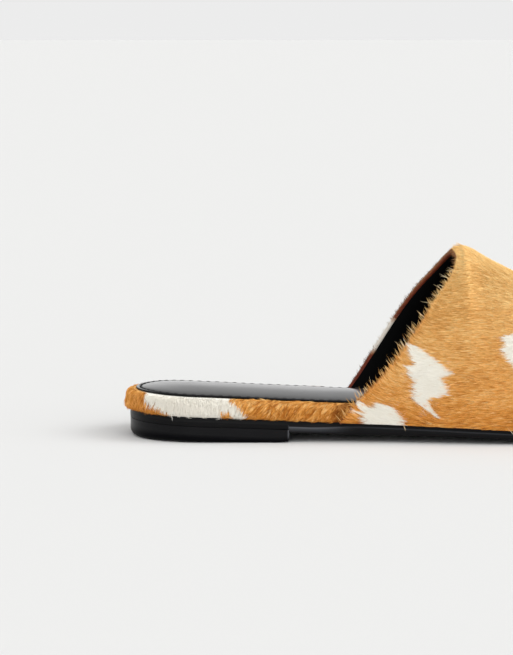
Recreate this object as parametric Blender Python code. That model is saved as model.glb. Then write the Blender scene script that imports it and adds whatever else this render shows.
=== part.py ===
"""Flat backless mule with a closed vamp, right shoe.

While a shoe is modelled, x runs from the back of the heel to the toe, y runs towards the
big-toe side (the medial side), z is the height above the ground, and sizes are millimetres.
The last step moves the whole shoe: its origin is then the middle of its length and width, on
the ground, with +X at the toe.
"""
import math
from collections import namedtuple

import bmesh
import bpy
from mathutils import Vector

MM = 0.001

# The last: a woman's size 38
LENGTH = 257.0
BALL_WIDTH = 80.0
HEEL_RADIUS = 29.5
INSTEP_HEIGHT = 77.0

# The layers under the foot
SOLE_THICKNESS = 3.6
FOOTBED_THICKNESS = 7.7
FOOTBED_TOE_THICKNESS = 5.2
FOOTBED_EDGE_RADIUS = 3.0
SOCK_CROWN = 1.1
HEEL_BLOCK_LENGTH = 66.5
HEEL_CORNER = 2.2
GAP = 0.3

# How far each layer's edge stands back from the plan of the last
SOLE_STEP = 1.7
HEEL_STEP = 1.9
SOCK_STEP = 3.6
SOLE_EDGE_ROUND = 0.8

# The upper
WALL = 2.0
UPPER_STEP = 1.2
VAMP_BACK = 84.0
POLE_X = 228.0
TOE_START = 205.0
TOE_FULLNESS = 2.4

SECTIONS = 26
TOE_SECTIONS = 16
HEEL_SEGMENTS = 9
SIDE_SEGMENTS = 22
TIP_SEGMENTS = 10
CORNER_SEGMENTS = 4

# Plan of the last: shares of the length, and of the ball width
Plan = namedtuple("Plan", "along centre half")
PLAN = (
    Plan(0.117, 0.000, 0.369),
    Plan(0.253, -0.012, 0.363),
    Plan(0.370, -0.025, 0.363),
    Plan(0.486, -0.025, 0.412),
    Plan(0.584, -0.009, 0.472),
    Plan(0.661, 0.013, 0.500),
    Plan(0.739, 0.028, 0.484),
    Plan(0.837, 0.044, 0.418),
    Plan(0.914, 0.052, 0.368),
    Plan(1.000, 0.072, 0.310),
)

# Underside of the outsole: heel seat, waist, flat tread under the ball, toe spring
Bottom = namedtuple("Bottom", "along height")
TREAD = (
    Bottom(0.000, 7.6),
    Bottom(0.195, 5.9),
    Bottom(0.350, 4.3),
    Bottom(0.506, 3.0),
    Bottom(0.603, 1.9),
    Bottom(0.696, 0.0),
    Bottom(0.786, 0.0),
    Bottom(0.895, 1.7),
    Bottom(1.000, 5.0),
)
HEEL_TREAD = (
    Bottom(0.000, 3.2),
    Bottom(0.080, 2.7),
    Bottom(0.150, 1.5),
    Bottom(0.205, 0.0),
    Bottom(0.260, 0.0),
)

# Ridge of the vamp: shares of the length, of the ball width and of the instep height
Ridge = namedtuple("Ridge", "along side rise")
RIDGE = (
    Ridge(0.300, 0.000, 1.300),
    Ridge(0.467, 0.012, 1.095),
    Ridge(0.530, 0.025, 1.000),
    Ridge(0.560, 0.029, 0.969),
    Ridge(0.623, 0.037, 0.864),
    Ridge(0.720, 0.050, 0.730),
    Ridge(0.800, 0.055, 0.620),
    Ridge(0.887, 0.055, 0.505),
    Ridge(1.000, 0.060, 0.365),
)

# Side view of the topline on each side, from the sole up to the ridge
Topline = namedtuple("Topline", "height lateral medial")
TOPLINE = (
    Topline(8.0, 85.4, 88.4),
    Topline(16.0, 92.2, 94.8),
    Topline(30.0, 104.1, 104.5),
    Topline(45.0, 115.5, 113.1),
    Topline(60.0, 125.5, 122.3),
    Topline(70.0, 131.3, 129.6),
    Topline(77.0, 135.6, 135.6),
)

# Section of the vamp: how far the wall swells past the sole, how high it stands before it
# turns in, and how flat it is on top
Shape = namedtuple("Shape", "along swell stand crown")
SHAPE = (
    Shape(0.350, 1.0, 0.60, 0.50),
    Shape(0.530, 2.0, 0.60, 0.50),
    Shape(0.680, 3.0, 0.58, 0.54),
    Shape(0.800, 2.6, 0.60, 0.58),
    Shape(0.887, 2.0, 0.66, 0.60),
)


def smooth(xs, ys):
    """A smooth curve through the points (x, y), which never swings past them."""
    count = len(xs)
    slopes = [(ys[i + 1] - ys[i]) / (xs[i + 1] - xs[i]) for i in range(count - 1)]
    tangents = [slopes[0]]
    for before, after in zip(slopes, slopes[1:]):
        turning = before * after <= 0.0
        tangents.append(0.0 if turning else 2.0 * before * after / (before + after))
    tangents.append(slopes[-1])

    def value(x):
        if x <= xs[0]:
            return ys[0] + tangents[0] * (x - xs[0])
        if x >= xs[-1]:
            return ys[-1] + tangents[-1] * (x - xs[-1])
        i = next(k for k in range(count - 1) if x <= xs[k + 1])
        width = xs[i + 1] - xs[i]
        t = (x - xs[i]) / width
        start = (1 + 2 * t) * (1 - t) ** 2 * ys[i] + t * (1 - t) ** 2 * width * tangents[i]
        end = t * t * (3 - 2 * t) * ys[i + 1] - t * t * (1 - t) * width * tangents[i + 1]
        return start + end

    return value


def station_curve(rows, column, scale=1.0):
    """A smooth curve along the shoe through one column of a table of stations."""
    return smooth([row.along * LENGTH for row in rows], [getattr(row, column) * scale for row in rows])


def ease(t):
    """0 to 1 with a soft start and end."""
    t = min(1.0, max(0.0, t))
    return t * t * (3.0 - 2.0 * t)


centre_line = station_curve(PLAN, "centre", BALL_WIDTH)
half_width = station_curve(PLAN, "half", BALL_WIDTH)
tread = station_curve(TREAD, "height")
heel_tread = station_curve(HEEL_TREAD, "height")
ridge_side = station_curve(RIDGE, "side", BALL_WIDTH)
ridge_height = station_curve(RIDGE, "rise", INSTEP_HEIGHT)
swell = station_curve(SHAPE, "swell")
stand = station_curve(SHAPE, "stand")
crown = station_curve(SHAPE, "crown")
topline_heights = [row.height for row in TOPLINE]
lateral_topline = smooth(topline_heights, [row.lateral for row in TOPLINE])
medial_topline = smooth(topline_heights, [row.medial for row in TOPLINE])


def plan_half(x):
    """Half the width of the last: an arc at the heel and a soft almond at the toe."""
    if x < HEEL_RADIUS:
        return math.sqrt(max(0.0, HEEL_RADIUS ** 2 - (HEEL_RADIUS - x) ** 2))
    rounding = 1.0
    if x > TOE_START:
        reach = min(1.0, (x - TOE_START) / (LENGTH - TOE_START))
        rounding = (1.0 - reach ** TOE_FULLNESS) ** (1.0 / TOE_FULLNESS)
    return half_width(x) * rounding


def plan_centre(x):
    return centre_line(x) * ease(x / HEEL_RADIUS)


def plan_points(front, corner):
    """Lateral points from the back of the heel to `front`, with the medial ones at the same x."""
    quarter = math.pi / 2.0
    xs = [HEEL_RADIUS * (1.0 - math.cos(quarter * i / HEEL_SEGMENTS)) for i in range(HEEL_SEGMENTS)]
    whole = front >= LENGTH
    side_end = TOE_START if whole else front - corner
    count = round(SIDE_SEGMENTS * (side_end - HEEL_RADIUS) / (TOE_START - HEEL_RADIUS))
    xs += [HEEL_RADIUS + (side_end - HEEL_RADIUS) * i / count for i in range(count + 1)]
    if whole:
        toe = LENGTH - TOE_START
        xs += [TOE_START + toe * math.sin(quarter * i / TIP_SEGMENTS) for i in range(1, TIP_SEGMENTS + 1)]
    halves = [plan_half(x) for x in xs]
    for i in range(1, CORNER_SEGMENTS + 1):
        if not whole:
            turn = quarter * i / CORNER_SEGMENTS
            xs.append(side_end + corner * math.sin(turn))
            halves.append(plan_half(xs[-1]) - corner * (1.0 - math.cos(turn)))
    outer = [Vector((x, plan_centre(x) - half)) for x, half in zip(xs, halves)]
    inner = [Vector((x, plan_centre(x) + half)) for x, half in zip(xs, halves)]
    return outer, inner


def outline(front=LENGTH, corner=0.0):
    """The plan as one ring, from the back of the heel along the lateral side and back."""
    outer, inner = plan_points(front, corner)
    if front >= LENGTH:
        inner = inner[:-1]
    return outer + inner[:0:-1]


def inset(ring, step):
    """Move each point of a ring inwards by step(x)."""
    count = len(ring)
    moved = []
    for i, point in enumerate(ring):
        along = (ring[(i + 1) % count] - ring[i - 1]).normalized()
        inwards = Vector((-along.y, along.x))
        moved.append(point + inwards * step(point.x))
    return moved


def constant(value):
    return lambda x: value


def rounded_edge(radius, steps):
    """Inset and drop of a quarter-round edge, from its side up to its flat."""
    angles = [math.pi / 2.0 * i / steps for i in range(steps + 1)]
    return [(radius * (1.0 - math.cos(a)), radius * (1.0 - math.sin(a))) for a in angles]


def new_object(name, mesh, material):
    bmesh.ops.recalc_face_normals(mesh, faces=mesh.faces)
    data = bpy.data.meshes.new(name)
    mesh.to_mesh(data)
    mesh.free()
    data.shade_smooth()
    data.set_sharp_from_angle(angle=math.radians(35.0))
    data.materials.append(material)
    obj = bpy.data.objects.new(name, data)
    bpy.context.collection.objects.link(obj)
    return obj


def new_material(name, color, roughness):
    material = bpy.data.materials.new(name)
    material.use_nodes = True
    shader = material.node_tree.nodes["Principled BSDF"]
    shader.inputs["Base Color"].default_value = (*color, 1.0)
    shader.inputs["Roughness"].default_value = roughness
    shader.inputs["Metallic"].default_value = 0.0
    return material


def rungs(mesh, ring):
    """Close a ring with faces that run from the lateral to the medial side."""
    count = len(ring)
    mesh.faces.new((ring[0], ring[1], ring[-1]))
    for i in range(1, (count - 1) // 2):
        mesh.faces.new((ring[i], ring[i + 1], ring[count - i - 1], ring[count - i]))
    if count % 2 == 0:
        tip = count // 2
        mesh.faces.new((ring[tip - 1], ring[tip], ring[tip + 1]))


def layer(name, ring, levels, material):
    """A solid of stacked rings; each level is how far it stands in and its height, by x."""
    mesh = bmesh.new()
    loops = []
    for step, height in levels:
        points = inset(ring, step)
        loops.append([mesh.verts.new((p.x * MM, p.y * MM, height(p.x) * MM)) for p in points])
    for lower, upper in zip(loops, loops[1:]):
        for i in range(len(ring)):
            j = (i + 1) % len(ring)
            mesh.faces.new((lower[i], lower[j], upper[j], upper[i]))
    rungs(mesh, loops[0])
    rungs(mesh, loops[-1])
    return new_object(name, mesh, material)


def sole_top(x):
    return tread(x) + SOLE_THICKNESS


def footbed_bottom(x):
    return sole_top(x) + GAP


def footbed_top(x):
    thinning = ease((x - 0.5 * LENGTH) / (POLE_X - 0.5 * LENGTH))
    return footbed_bottom(x) + FOOTBED_THICKNESS + (FOOTBED_TOE_THICKNESS - FOOTBED_THICKNESS) * thinning


def sole_step(x):
    """The outsole keeps one step inside whatever stands on it, footbed or vamp."""
    return SOLE_STEP - UPPER_STEP * ease((x - VAMP_BACK) / 30.0)


def build_outsole():
    """One rubber unit from heel to toe, its lower edge rounded."""
    levels = []
    for step, drop in reversed(rounded_edge(SOLE_EDGE_ROUND, 3)):
        levels.append((
            lambda x, step=step: sole_step(x) + step,
            lambda x, drop=drop: tread(x) + drop,
        ))
    levels.append((sole_step, sole_top))
    return layer("outsole", outline(), levels, new_material("outsole_rubber", (0.012, 0.012, 0.013), 0.4))


def build_heel_block():
    """The low heel, flat towards the breast and lifted a little at the back."""
    def foot(x):
        return heel_tread(x)

    def head(x):
        return tread(x) - GAP

    levels = []
    for step, drop in reversed(rounded_edge(SOLE_EDGE_ROUND, 3)):
        levels.append((constant(HEEL_STEP + step), lambda x, drop=drop: foot(x) + drop))
    levels.append((constant(HEEL_STEP), head))
    ring = outline(HEEL_BLOCK_LENGTH, HEEL_CORNER)
    return layer("heel_block", ring, levels, new_material("heel_rubber", (0.011, 0.011, 0.012), 0.38))


def under_upper(x):
    """How far the footbed is let in where the vamp stands round it."""
    room = WALL + GAP - UPPER_STEP
    return room * ease((x - VAMP_BACK + 3.0) / 3.0)


def build_footbed():
    """The padded platform that the calf hair wraps, with a soft upper edge."""
    levels = [
        (lambda x: under_upper(x) + 0.6, footbed_bottom),
        (under_upper, lambda x: footbed_bottom(x) + 0.7),
    ]
    for step, drop in rounded_edge(FOOTBED_EDGE_RADIUS, 4):
        levels.append((
            lambda x, step=step: under_upper(x) + step,
            lambda x, drop=drop: footbed_top(x) - drop,
        ))
    return layer("footbed", outline(), levels, new_material("footbed_calf_hair", (0.60, 0.32, 0.11), 0.75))


def build_insock():
    """The padded sock: thin at its stitched edge, and crowned under the foot."""
    profile = ((0.0, 0.0), (0.0, 0.3), (0.5, 0.5), (2.0, 0.7), (6.0, 0.95), (12.0, SOCK_CROWN))
    levels = []
    for step, rise in profile:
        levels.append((
            lambda x, step=step: under_upper(x) + SOCK_STEP + step,
            lambda x, rise=rise: footbed_top(x) + GAP + rise,
        ))
    return layer("insock", outline(), levels, new_material("insock_leather", (0.015, 0.015, 0.017), 0.25))


def section(t, x):
    """Share of the half width and share of the height at t = 0 (sole) to 1 (ridge)."""
    foot = (1.0 - t) ** 3
    wall = 3.0 * t * (1.0 - t) ** 2
    roof = 3.0 * t * t * (1.0 - t)
    out = foot + wall * (1.0 + swell(x) / half_width(x)) + roof * crown(x)
    up = wall * stand(x) + roof + t ** 3
    return out, up


def vamp_height(x, up):
    base = sole_top(x) + GAP
    return base + (ridge_height(x) - base) * up


def vamp_point(along, t, side):
    """A point of the outside, `along` 0 at the topline and 1 where the toe cap begins."""
    topline = lateral_topline if side < 0.0 else medial_topline
    x = POLE_X
    for _ in range(30):
        out, up = section(t, x)
        z = vamp_height(x, up)
        x = topline(z) * (1.0 - along) + POLE_X * along
    edge = plan_centre(x) + side * (plan_half(x) + UPPER_STEP)
    y = ridge_side(x) + (edge - ridge_side(x)) * out
    return Vector((x, y, z))


def toe_point(turn, t):
    """A point of the toe cap; `turn` goes from -90 (lateral) over 0 (tip) to 90 degrees (medial)."""
    reach = LENGTH - POLE_X
    x = POLE_X + reach * math.cos(turn)
    side = math.copysign(1.0, turn)
    edge = Vector((x, plan_centre(x) + side * plan_half(x)))
    pole = Vector((POLE_X, ridge_side(POLE_X)))
    edge += (edge - pole).normalized() * UPPER_STEP
    out, up = section(t, POLE_X)
    spot = pole + (edge - pole) * out
    return Vector((spot.x, spot.y, vamp_height(spot.x, up)))


# Heights of the rows between sole and ridge, closer together beside the footbed
ROWS = (0.0, 0.03, 0.06, 0.10, 0.16, 0.23, 0.31, 0.40, 0.50, 0.60, 0.70, 0.80, 0.90, 1.0)


def build_upper():
    """The vamp: one shell of wall thickness WALL, open at the topline and underneath."""
    mesh = bmesh.new()

    def vertex(point):
        return mesh.verts.new(point * MM)

    columns = []
    for i in range(SECTIONS + 1):
        along = i / SECTIONS
        lateral = [vertex(vamp_point(along, t, -1.0)) for t in ROWS]
        medial = [vertex(vamp_point(along, t, 1.0)) for t in ROWS[:-1]]
        columns.append((lateral, medial + [lateral[-1]]))
    for before, after in zip(columns, columns[1:]):
        for near, far in zip(before, after):
            for k in range(len(ROWS) - 1):
                mesh.faces.new((near[k], far[k], far[k + 1], near[k + 1]))
    lateral, medial = columns[-1]
    pole = lateral[-1]
    fan = [lateral]
    for i in range(1, TOE_SECTIONS):
        turn = math.pi * (i / TOE_SECTIONS - 0.5)
        fan.append([vertex(toe_point(turn, t)) for t in ROWS[:-1]] + [pole])
    fan.append(medial)
    for near, far in zip(fan, fan[1:]):
        for k in range(len(ROWS) - 2):
            mesh.faces.new((near[k], far[k], far[k + 1], near[k + 1]))
        mesh.faces.new((near[-2], far[-2], pole))
    obj = new_object("upper", mesh, new_material("upper_calf_hair", (0.62, 0.34, 0.12), 0.75))
    wall = obj.modifiers.new("wall", "SOLIDIFY")
    wall.thickness = WALL * MM
    wall.offset = -1.0
    return obj


def stand_on_origin(objects):
    """Put the origin at the middle of the shoe's length and width, on the ground."""
    bpy.context.view_layer.update()
    corners = [obj.matrix_world @ Vector(corner) for obj in objects for corner in obj.bound_box]
    low = Vector([min(corner[axis] for corner in corners) for axis in range(3)])
    high = Vector([max(corner[axis] for corner in corners) for axis in range(3)])
    middle = (low + high) / 2.0
    for obj in objects:
        obj.location = (-middle.x, -middle.y, -low.z)


for old in list(bpy.data.objects):
    bpy.data.objects.remove(old)

stand_on_origin([
    build_outsole(),
    build_heel_block(),
    build_footbed(),
    build_insock(),
    build_upper(),
])
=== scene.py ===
"""A flat backless mule in spotted calf hair, right shoe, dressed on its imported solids.

A piece is shaped in millimetres in the shoe's own lengths: x from the back of the heel to the
toe, y towards the big-toe side, z up from the ground. in_frame() then puts it in the frame,
whose origin is at the middle of the shoe's length and width, on the ground.
"""
import math
from collections import namedtuple

import bmesh
import bpy
import numpy as np
from mathutils.bvhtree import BVHTree
from mathutils.kdtree import KDTree
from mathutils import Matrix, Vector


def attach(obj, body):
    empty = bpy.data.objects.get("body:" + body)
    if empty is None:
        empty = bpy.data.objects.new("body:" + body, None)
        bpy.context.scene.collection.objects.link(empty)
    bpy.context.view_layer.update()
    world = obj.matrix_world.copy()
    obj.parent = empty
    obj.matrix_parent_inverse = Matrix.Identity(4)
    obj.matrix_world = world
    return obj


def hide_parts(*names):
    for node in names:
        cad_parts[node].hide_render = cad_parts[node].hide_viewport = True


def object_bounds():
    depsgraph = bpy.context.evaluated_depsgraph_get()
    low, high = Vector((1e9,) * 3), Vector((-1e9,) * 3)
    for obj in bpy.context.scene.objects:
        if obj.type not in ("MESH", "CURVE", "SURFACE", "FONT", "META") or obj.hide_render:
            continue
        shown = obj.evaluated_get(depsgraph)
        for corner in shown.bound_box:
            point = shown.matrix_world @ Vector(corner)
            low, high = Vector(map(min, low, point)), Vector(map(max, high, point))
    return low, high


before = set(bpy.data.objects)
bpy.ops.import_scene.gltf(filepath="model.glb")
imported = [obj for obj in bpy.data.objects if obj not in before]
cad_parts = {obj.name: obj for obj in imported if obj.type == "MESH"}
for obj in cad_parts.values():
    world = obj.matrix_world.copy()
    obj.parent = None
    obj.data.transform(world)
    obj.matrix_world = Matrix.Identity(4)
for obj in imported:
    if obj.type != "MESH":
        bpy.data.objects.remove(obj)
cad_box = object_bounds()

# ------------------------------------------------------------------------------------------
# The outsole: one moulded unit of black thermoplastic rubber from heel to toe, a few
# millimetres thick, with a small shoulder along its top edge. It is cemented under the
# covered footbed and under the lasted edge of the vamp.
# ------------------------------------------------------------------------------------------
MM = 0.001
LENGTH = 257.0
BALL_WIDTH = 80.0
HEEL_RADIUS = 29.5
TOE_START = 205.0
TOE_FULLNESS = 2.4
SOLE_THICKNESS = 3.6
SOLE_STEP = 1.7
STEP_LESS_AT_HEEL = 0.6
SOLE_EDGE_ROUND = 0.3
WAIST_SWELL = 1.2
RUBBER_GRIT = 0.35
HEEL_FRONT = 64.65
UPPER_STEP = 1.2
VAMP_BACK = 84.0
GAP = 0.3
HEEL_BACK = cad_box[0].x / MM
HEEL_LINE = -1.068

# Plan of the last: shares of the length, and of the ball width
Plan = namedtuple("Plan", "along centre half")
PLAN = (
    Plan(0.117, 0.000, 0.369),
    Plan(0.253, -0.012, 0.363),
    Plan(0.370, -0.025, 0.363),
    Plan(0.486, -0.025, 0.412),
    Plan(0.584, -0.009, 0.472),
    Plan(0.661, 0.013, 0.500),
    Plan(0.739, 0.028, 0.484),
    Plan(0.837, 0.044, 0.418),
    Plan(0.914, 0.052, 0.368),
    Plan(1.000, 0.072, 0.310),
)

# Underside of the outsole: heel seat, waist, flat tread under the ball, toe spring
Bottom = namedtuple("Bottom", "along height")
TREAD = (
    Bottom(0.000, 7.6),
    Bottom(0.195, 5.9),
    Bottom(0.350, 4.3),
    Bottom(0.506, 3.0),
    Bottom(0.603, 1.9),
    Bottom(0.696, 0.0),
    Bottom(0.786, 0.0),
    Bottom(0.895, 1.7),
    Bottom(1.000, 5.0),
)


def smooth(xs, ys):
    """A smooth curve through the points (x, y), which never swings past them."""
    xs, ys = np.array(xs, float), np.array(ys, float)
    slopes = np.diff(ys) / np.diff(xs)
    before, after = slopes[:-1], slopes[1:]
    total = np.where(before * after > 0.0, before + after, 1.0)
    inner = np.where(before * after > 0.0, 2.0 * before * after / total, 0.0)
    tangents = np.concatenate(([slopes[0]], inner, [slopes[-1]]))

    def value(x):
        x = np.asarray(x, float)
        held = np.clip(x, xs[0], xs[-1])
        i = np.clip(np.searchsorted(xs, held) - 1, 0, len(xs) - 2)
        width = xs[i + 1] - xs[i]
        t = (held - xs[i]) / width
        start = (1 + 2 * t) * (1 - t) ** 2 * ys[i] + t * (1 - t) ** 2 * width * tangents[i]
        end = t * t * (3 - 2 * t) * ys[i + 1] - t * t * (1 - t) * width * tangents[i + 1]
        return start + end + np.where(x < xs[0], tangents[0], tangents[-1]) * (x - held)

    return value


def station_curve(rows, column, scale=1.0):
    """A smooth curve along the shoe through one column of a table of stations."""
    return smooth([row.along * LENGTH for row in rows], [getattr(row, column) * scale for row in rows])


def ease(t):
    """0 to 1 with a soft start and end."""
    t = np.clip(t, 0.0, 1.0)
    return t * t * (3.0 - 2.0 * t)


def hump(x, middle, width):
    """1 at the middle, falling away softly to both sides."""
    return np.exp(-((x - middle) / width) ** 2)


centre_line = station_curve(PLAN, "centre", BALL_WIDTH)
half_width = station_curve(PLAN, "half", BALL_WIDTH)
tread = station_curve(TREAD, "height")


def plan_half(x):
    """Half the width of the last: an arc at the heel and a soft almond at the toe."""
    heel = np.sqrt(np.clip(HEEL_RADIUS ** 2 - (HEEL_RADIUS - x) ** 2, 0.0, None))
    reach = np.clip((x - TOE_START) / (LENGTH - TOE_START), 0.0, 1.0)
    side = half_width(x) * (1.0 - reach ** TOE_FULLNESS) ** (1.0 / TOE_FULLNESS)
    return np.where(x < HEEL_RADIUS, heel, side)


def plan_centre(x):
    return centre_line(x) * ease(x / HEEL_RADIUS)


def outline(front=LENGTH, corner=0.0, pitch=2.2):
    """The plan as one ring of points, from the back of the heel along the lateral side and back."""
    quarter = np.linspace(0.0, math.pi / 2.0, 21)
    whole = front >= LENGTH
    side_end = TOE_START if whole else front - corner
    sides = np.linspace(HEEL_RADIUS, side_end, round((side_end - HEEL_RADIUS) / pitch) + 1)
    if whole:
        sides = np.sort(np.append(sides, HEEL_FRONT + 0.4))
        tip = TOE_START + (LENGTH - TOE_START) * np.sin(quarter[1:])
        square = np.zeros(len(tip))
    else:
        turn = quarter[2::3]
        tip = side_end + corner * np.sin(turn)
        square = corner * (1.0 - np.cos(turn))
    xs = np.concatenate((HEEL_RADIUS * (1.0 - np.cos(quarter[:-1])), sides, tip))
    half = plan_half(xs)
    half[len(xs) - len(tip):] -= square
    outer = np.column_stack((xs, plan_centre(xs) - half))
    inner = np.column_stack((xs, plan_centre(xs) + half))
    if whole:
        inner = inner[:-1]
    return np.concatenate((outer, inner[:0:-1]))


def inset(ring, step):
    """Move each point of a ring inwards by a step, which may change along the shoe."""
    along = np.roll(ring, -1, axis=0) - np.roll(ring, 1, axis=0)
    along /= np.linalg.norm(along, axis=1)[:, None]
    inwards = np.column_stack((-along[:, 1], along[:, 0]))
    amount = step(ring[:, 0]) if callable(step) else np.full(len(ring), step)
    return ring + inwards * amount[:, None]


def in_frame(points):
    """Points in the shoe's millimetres as points of the frame, in metres."""
    return (np.asarray(points, float) + (HEEL_BACK, HEEL_LINE, 0.0)) * MM


def stack(ring, levels):
    """Rings extruded one from the other: each level is how far it stands in, and its height."""
    mesh = bmesh.new()
    station = mesh.verts.layers.int.new("station")
    bmesh.ops.create_circle(mesh, segments=len(ring), radius=1.0)
    for number, vertex in enumerate(mesh.verts):
        vertex[station] = number
    verts, rim = mesh.verts[:], mesh.edges[:]
    first = rim
    for number, (step, height) in enumerate(levels):
        if number:
            made = bmesh.ops.extrude_edge_only(mesh, edges=rim)["geom"]
            verts = [item for item in made if isinstance(item, bmesh.types.BMVert)]
            rim = [item for item in made if isinstance(item, bmesh.types.BMEdge)]
        flat = inset(ring, step)
        spots = in_frame(np.column_stack((flat, height(flat[:, 0]))))
        for vertex in verts:
            vertex.co = spots[vertex[station]]
    for edges in (first, rim):
        close_across(mesh, edges, station, len(ring))
    return mesh


def close_across(mesh, rim, station, count):
    """Close a ring with strips that run from the lateral to the medial side."""
    last = (count - 1) // 2
    outer = [edge for edge in rim if all(1 <= v[station] <= last for v in edge.verts)]
    inner = [edge for edge in rim if all(count - last <= v[station] < count for v in edge.verts)]
    bmesh.ops.bridge_loops(mesh, edges=outer + inner)
    for tip in (0, count // 2):
        ends = [v for edge in rim for v in edge.verts if v[station] == tip]
        if tip == 0 or count % 2 == 0:
            near = {v for edge in ends[0].link_edges for v in edge.verts if edge in rim}
            bmesh.ops.contextual_create(mesh, geom=list(near))


def as_piece(name, mesh, finish, sharp=40.0):
    """The finished mesh as a piece at the origin, smooth but for its sharp edges."""
    bmesh.ops.recalc_face_normals(mesh, faces=mesh.faces)
    data = bpy.data.meshes.new(name)
    mesh.to_mesh(data)
    mesh.free()
    data.shade_smooth()
    data.set_sharp_from_angle(angle=math.radians(sharp))
    data.materials.append(finish)
    piece = bpy.data.objects.new(name, data)
    bpy.context.scene.collection.objects.link(piece)
    return piece


def from_mesh(data):
    """A mesh's points in the shoe's millimetres, their normals and its triangles."""
    count = len(data.vertices)
    points, normals = np.zeros(count * 3), np.zeros(count * 3)
    data.vertices.foreach_get("co", points)
    data.vertex_normals.foreach_get("vector", normals)
    data.calc_loop_triangles()
    corners = np.zeros(len(data.loop_triangles) * 3, np.int32)
    data.loop_triangles.foreach_get("vertices", corners)
    points = points.reshape(-1, 3) / MM - (HEEL_BACK, HEEL_LINE, 0.0)
    return points, normals.reshape(-1, 3), corners.reshape(-1, 3)


def mark(data, name, values):
    """Write one number a point, which a material or the hair reads."""
    data.attributes.new(name, "FLOAT", "POINT").data.foreach_set("value", values.astype(np.float32))


def tone(code):
    """An sRGB hex colour as linear red, green, blue and alpha."""
    parts = [int(code[i:i + 2], 16) / 255.0 for i in (1, 3, 5)]
    return (*[c / 12.92 if c <= 0.04045 else ((c + 0.055) / 1.055) ** 2.4 for c in parts], 1.0)


def per(size):
    """Scale of a pattern whose features are that many millimetres wide."""
    return 1.0 / (size * MM)


def plugged(tree, node, sockets):
    """A node with its inputs set. sockets: pairs of an input's name and its value, or the output
    that it reads."""
    for key, value in sockets:
        if isinstance(value, bpy.types.NodeSocket):
            tree.links.new(value, node.inputs[key])
        else:
            node.inputs[key].default_value = value
    return node


def add(tree, kind, sockets=(), **settings):
    """Add a node, with its settings and its inputs."""
    made = tree.nodes.new("ShaderNode" + kind)
    for key, value in settings.items():
        setattr(made, key, value)
    return plugged(tree, made, sockets)


def new_finish(name):
    """A named material, with its node tree and its surface shader."""
    material = bpy.data.materials.new(name)
    material.use_nodes = True
    return material, material.node_tree, material.node_tree.nodes["Principled BSDF"]


def sole_step(x):
    """The outsole keeps one step inside whatever stands on it, footbed or vamp, a smaller one
    over the heel."""
    at_heel = STEP_LESS_AT_HEEL * (1.0 - ease((x - 56.0) / 16.0))
    return SOLE_STEP - at_heel - UPPER_STEP * ease((x - VAMP_BACK) / 30.0)


def sole_top(x):
    return tread(x) + SOLE_THICKNESS


def stepped(base, step):
    """A further step inside a step that changes along the shoe."""
    return lambda x: base(x) + step


def lifted(base, rise):
    """A height above a height that changes along the shoe."""
    return lambda x: base(x) + rise


def rounded(base_step, base_height, radius, steps=5):
    """Levels of a rounded lower edge, from the flat underside up to the wall."""
    turns = [math.pi / 2.0 * i / steps for i in range(steps, -1, -1)]
    return [
        (stepped(base_step, radius * (1.0 - math.cos(a))), lifted(base_height, radius * (1.0 - math.sin(a))))
        for a in turns
    ]


def moulded_rubber(name, shade, rub, roughness, gloss):
    """Thermoplastic rubber from a fine-sparked mould: a deep black with a low, wide sheen and a very fine
    grit, a few paler rubs along the side, a painted highlight along the shoulder and at the heel's front
    corner, and a dull foot."""
    material, tree, shader = new_finish(name)
    where = add(tree, "TexCoord").outputs["Object"]
    fine = add(tree, "TexNoise", [("Vector", where), ("Scale", per(RUBBER_GRIT)), ("Detail", 3.0)])
    cloud = add(tree, "TexNoise", [("Vector", where), ("Scale", per(9.0)), ("Detail", 4.0)])
    drawn = add(tree, "Mapping", [("Vector", where), ("Scale", (0.08, 0.08, 1.0))])
    rubs = add(tree, "TexNoise", [("Vector", drawn.outputs[0]), ("Scale", per(0.9)), ("Detail", 5.0)])
    rubbed = add(tree, "MapRange", [("Value", rubs.outputs[0]), ("From Min", 0.58), ("From Max", 0.8)])
    dark, pale = tone(shade), tone(rub)
    colour = add(tree, "Mix", [("Factor", rubbed.outputs[0]), ("A", dark), ("B", pale)], data_type="RGBA")
    rough = add(
        tree,
        "MapRange",
        [("Value", cloud.outputs[0]), ("To Min", roughness - 0.06), ("To Max", roughness + 0.08)],
    )
    relief = add(tree, "Bump", [("Height", fine.outputs[0]), ("Strength", 0.18), ("Distance", 0.06 * MM)])
    # Painted highlight: the shoulder mark mixes in a paler grey
    highlight_mask = add(tree, "Attribute", attribute_name="shoulder").outputs["Fac"]
    both = add(
        tree, "Mix", [("Factor", highlight_mask), ("A", colour.outputs["Result"]), ("B", tone("#484a4e"))],
        data_type="RGBA",
    )
    foot = add(tree, "Attribute", attribute_name="foot").outputs["Fac"]
    shine = add(tree, "MapRange", [("Value", foot), ("To Min", gloss), ("To Max", gloss * 0.2)])
    plugged(tree, shader, [
        ("Base Color", both.outputs["Result"]),
        ("Roughness", rough.outputs[0]),
        ("Specular IOR Level", shine.outputs[0]),
        ("Normal", relief.outputs[0]),
        ("IOR", 1.5),
    ])
    return material


def undercut(x):
    """The wall of the outsole leans in towards the ground, least over the heel."""
    return sole_step(x) + 0.05 + 0.45 * ease((x - 64.0) / 12.0)


def let_in(depth):
    """A step in towards the shoulder of the outsole, which fades away over the heel."""
    return lambda x: sole_step(x) + depth * (0.15 + 0.85 * ease((x - 66.0) / 20.0))


def past_heel(x):
    """0 over the heel and 1 in front of its breast."""
    return ease((x - HEEL_FRONT) / 0.4)


def shank(x):
    """The underside of the waist, which swells downwards in front of the heel."""
    return tread(x) - WAIST_SWELL * past_heel(x) * (1.0 - ease((x - 85.0) / 50.0))


def shoulder_line(x):
    """The foot of the shoulder, which runs lower just in front of the heel."""
    return sole_top(x) - WAIST_SWELL * past_heel(x) * (1.0 - ease((x - 72.0) / 22.0))


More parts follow.
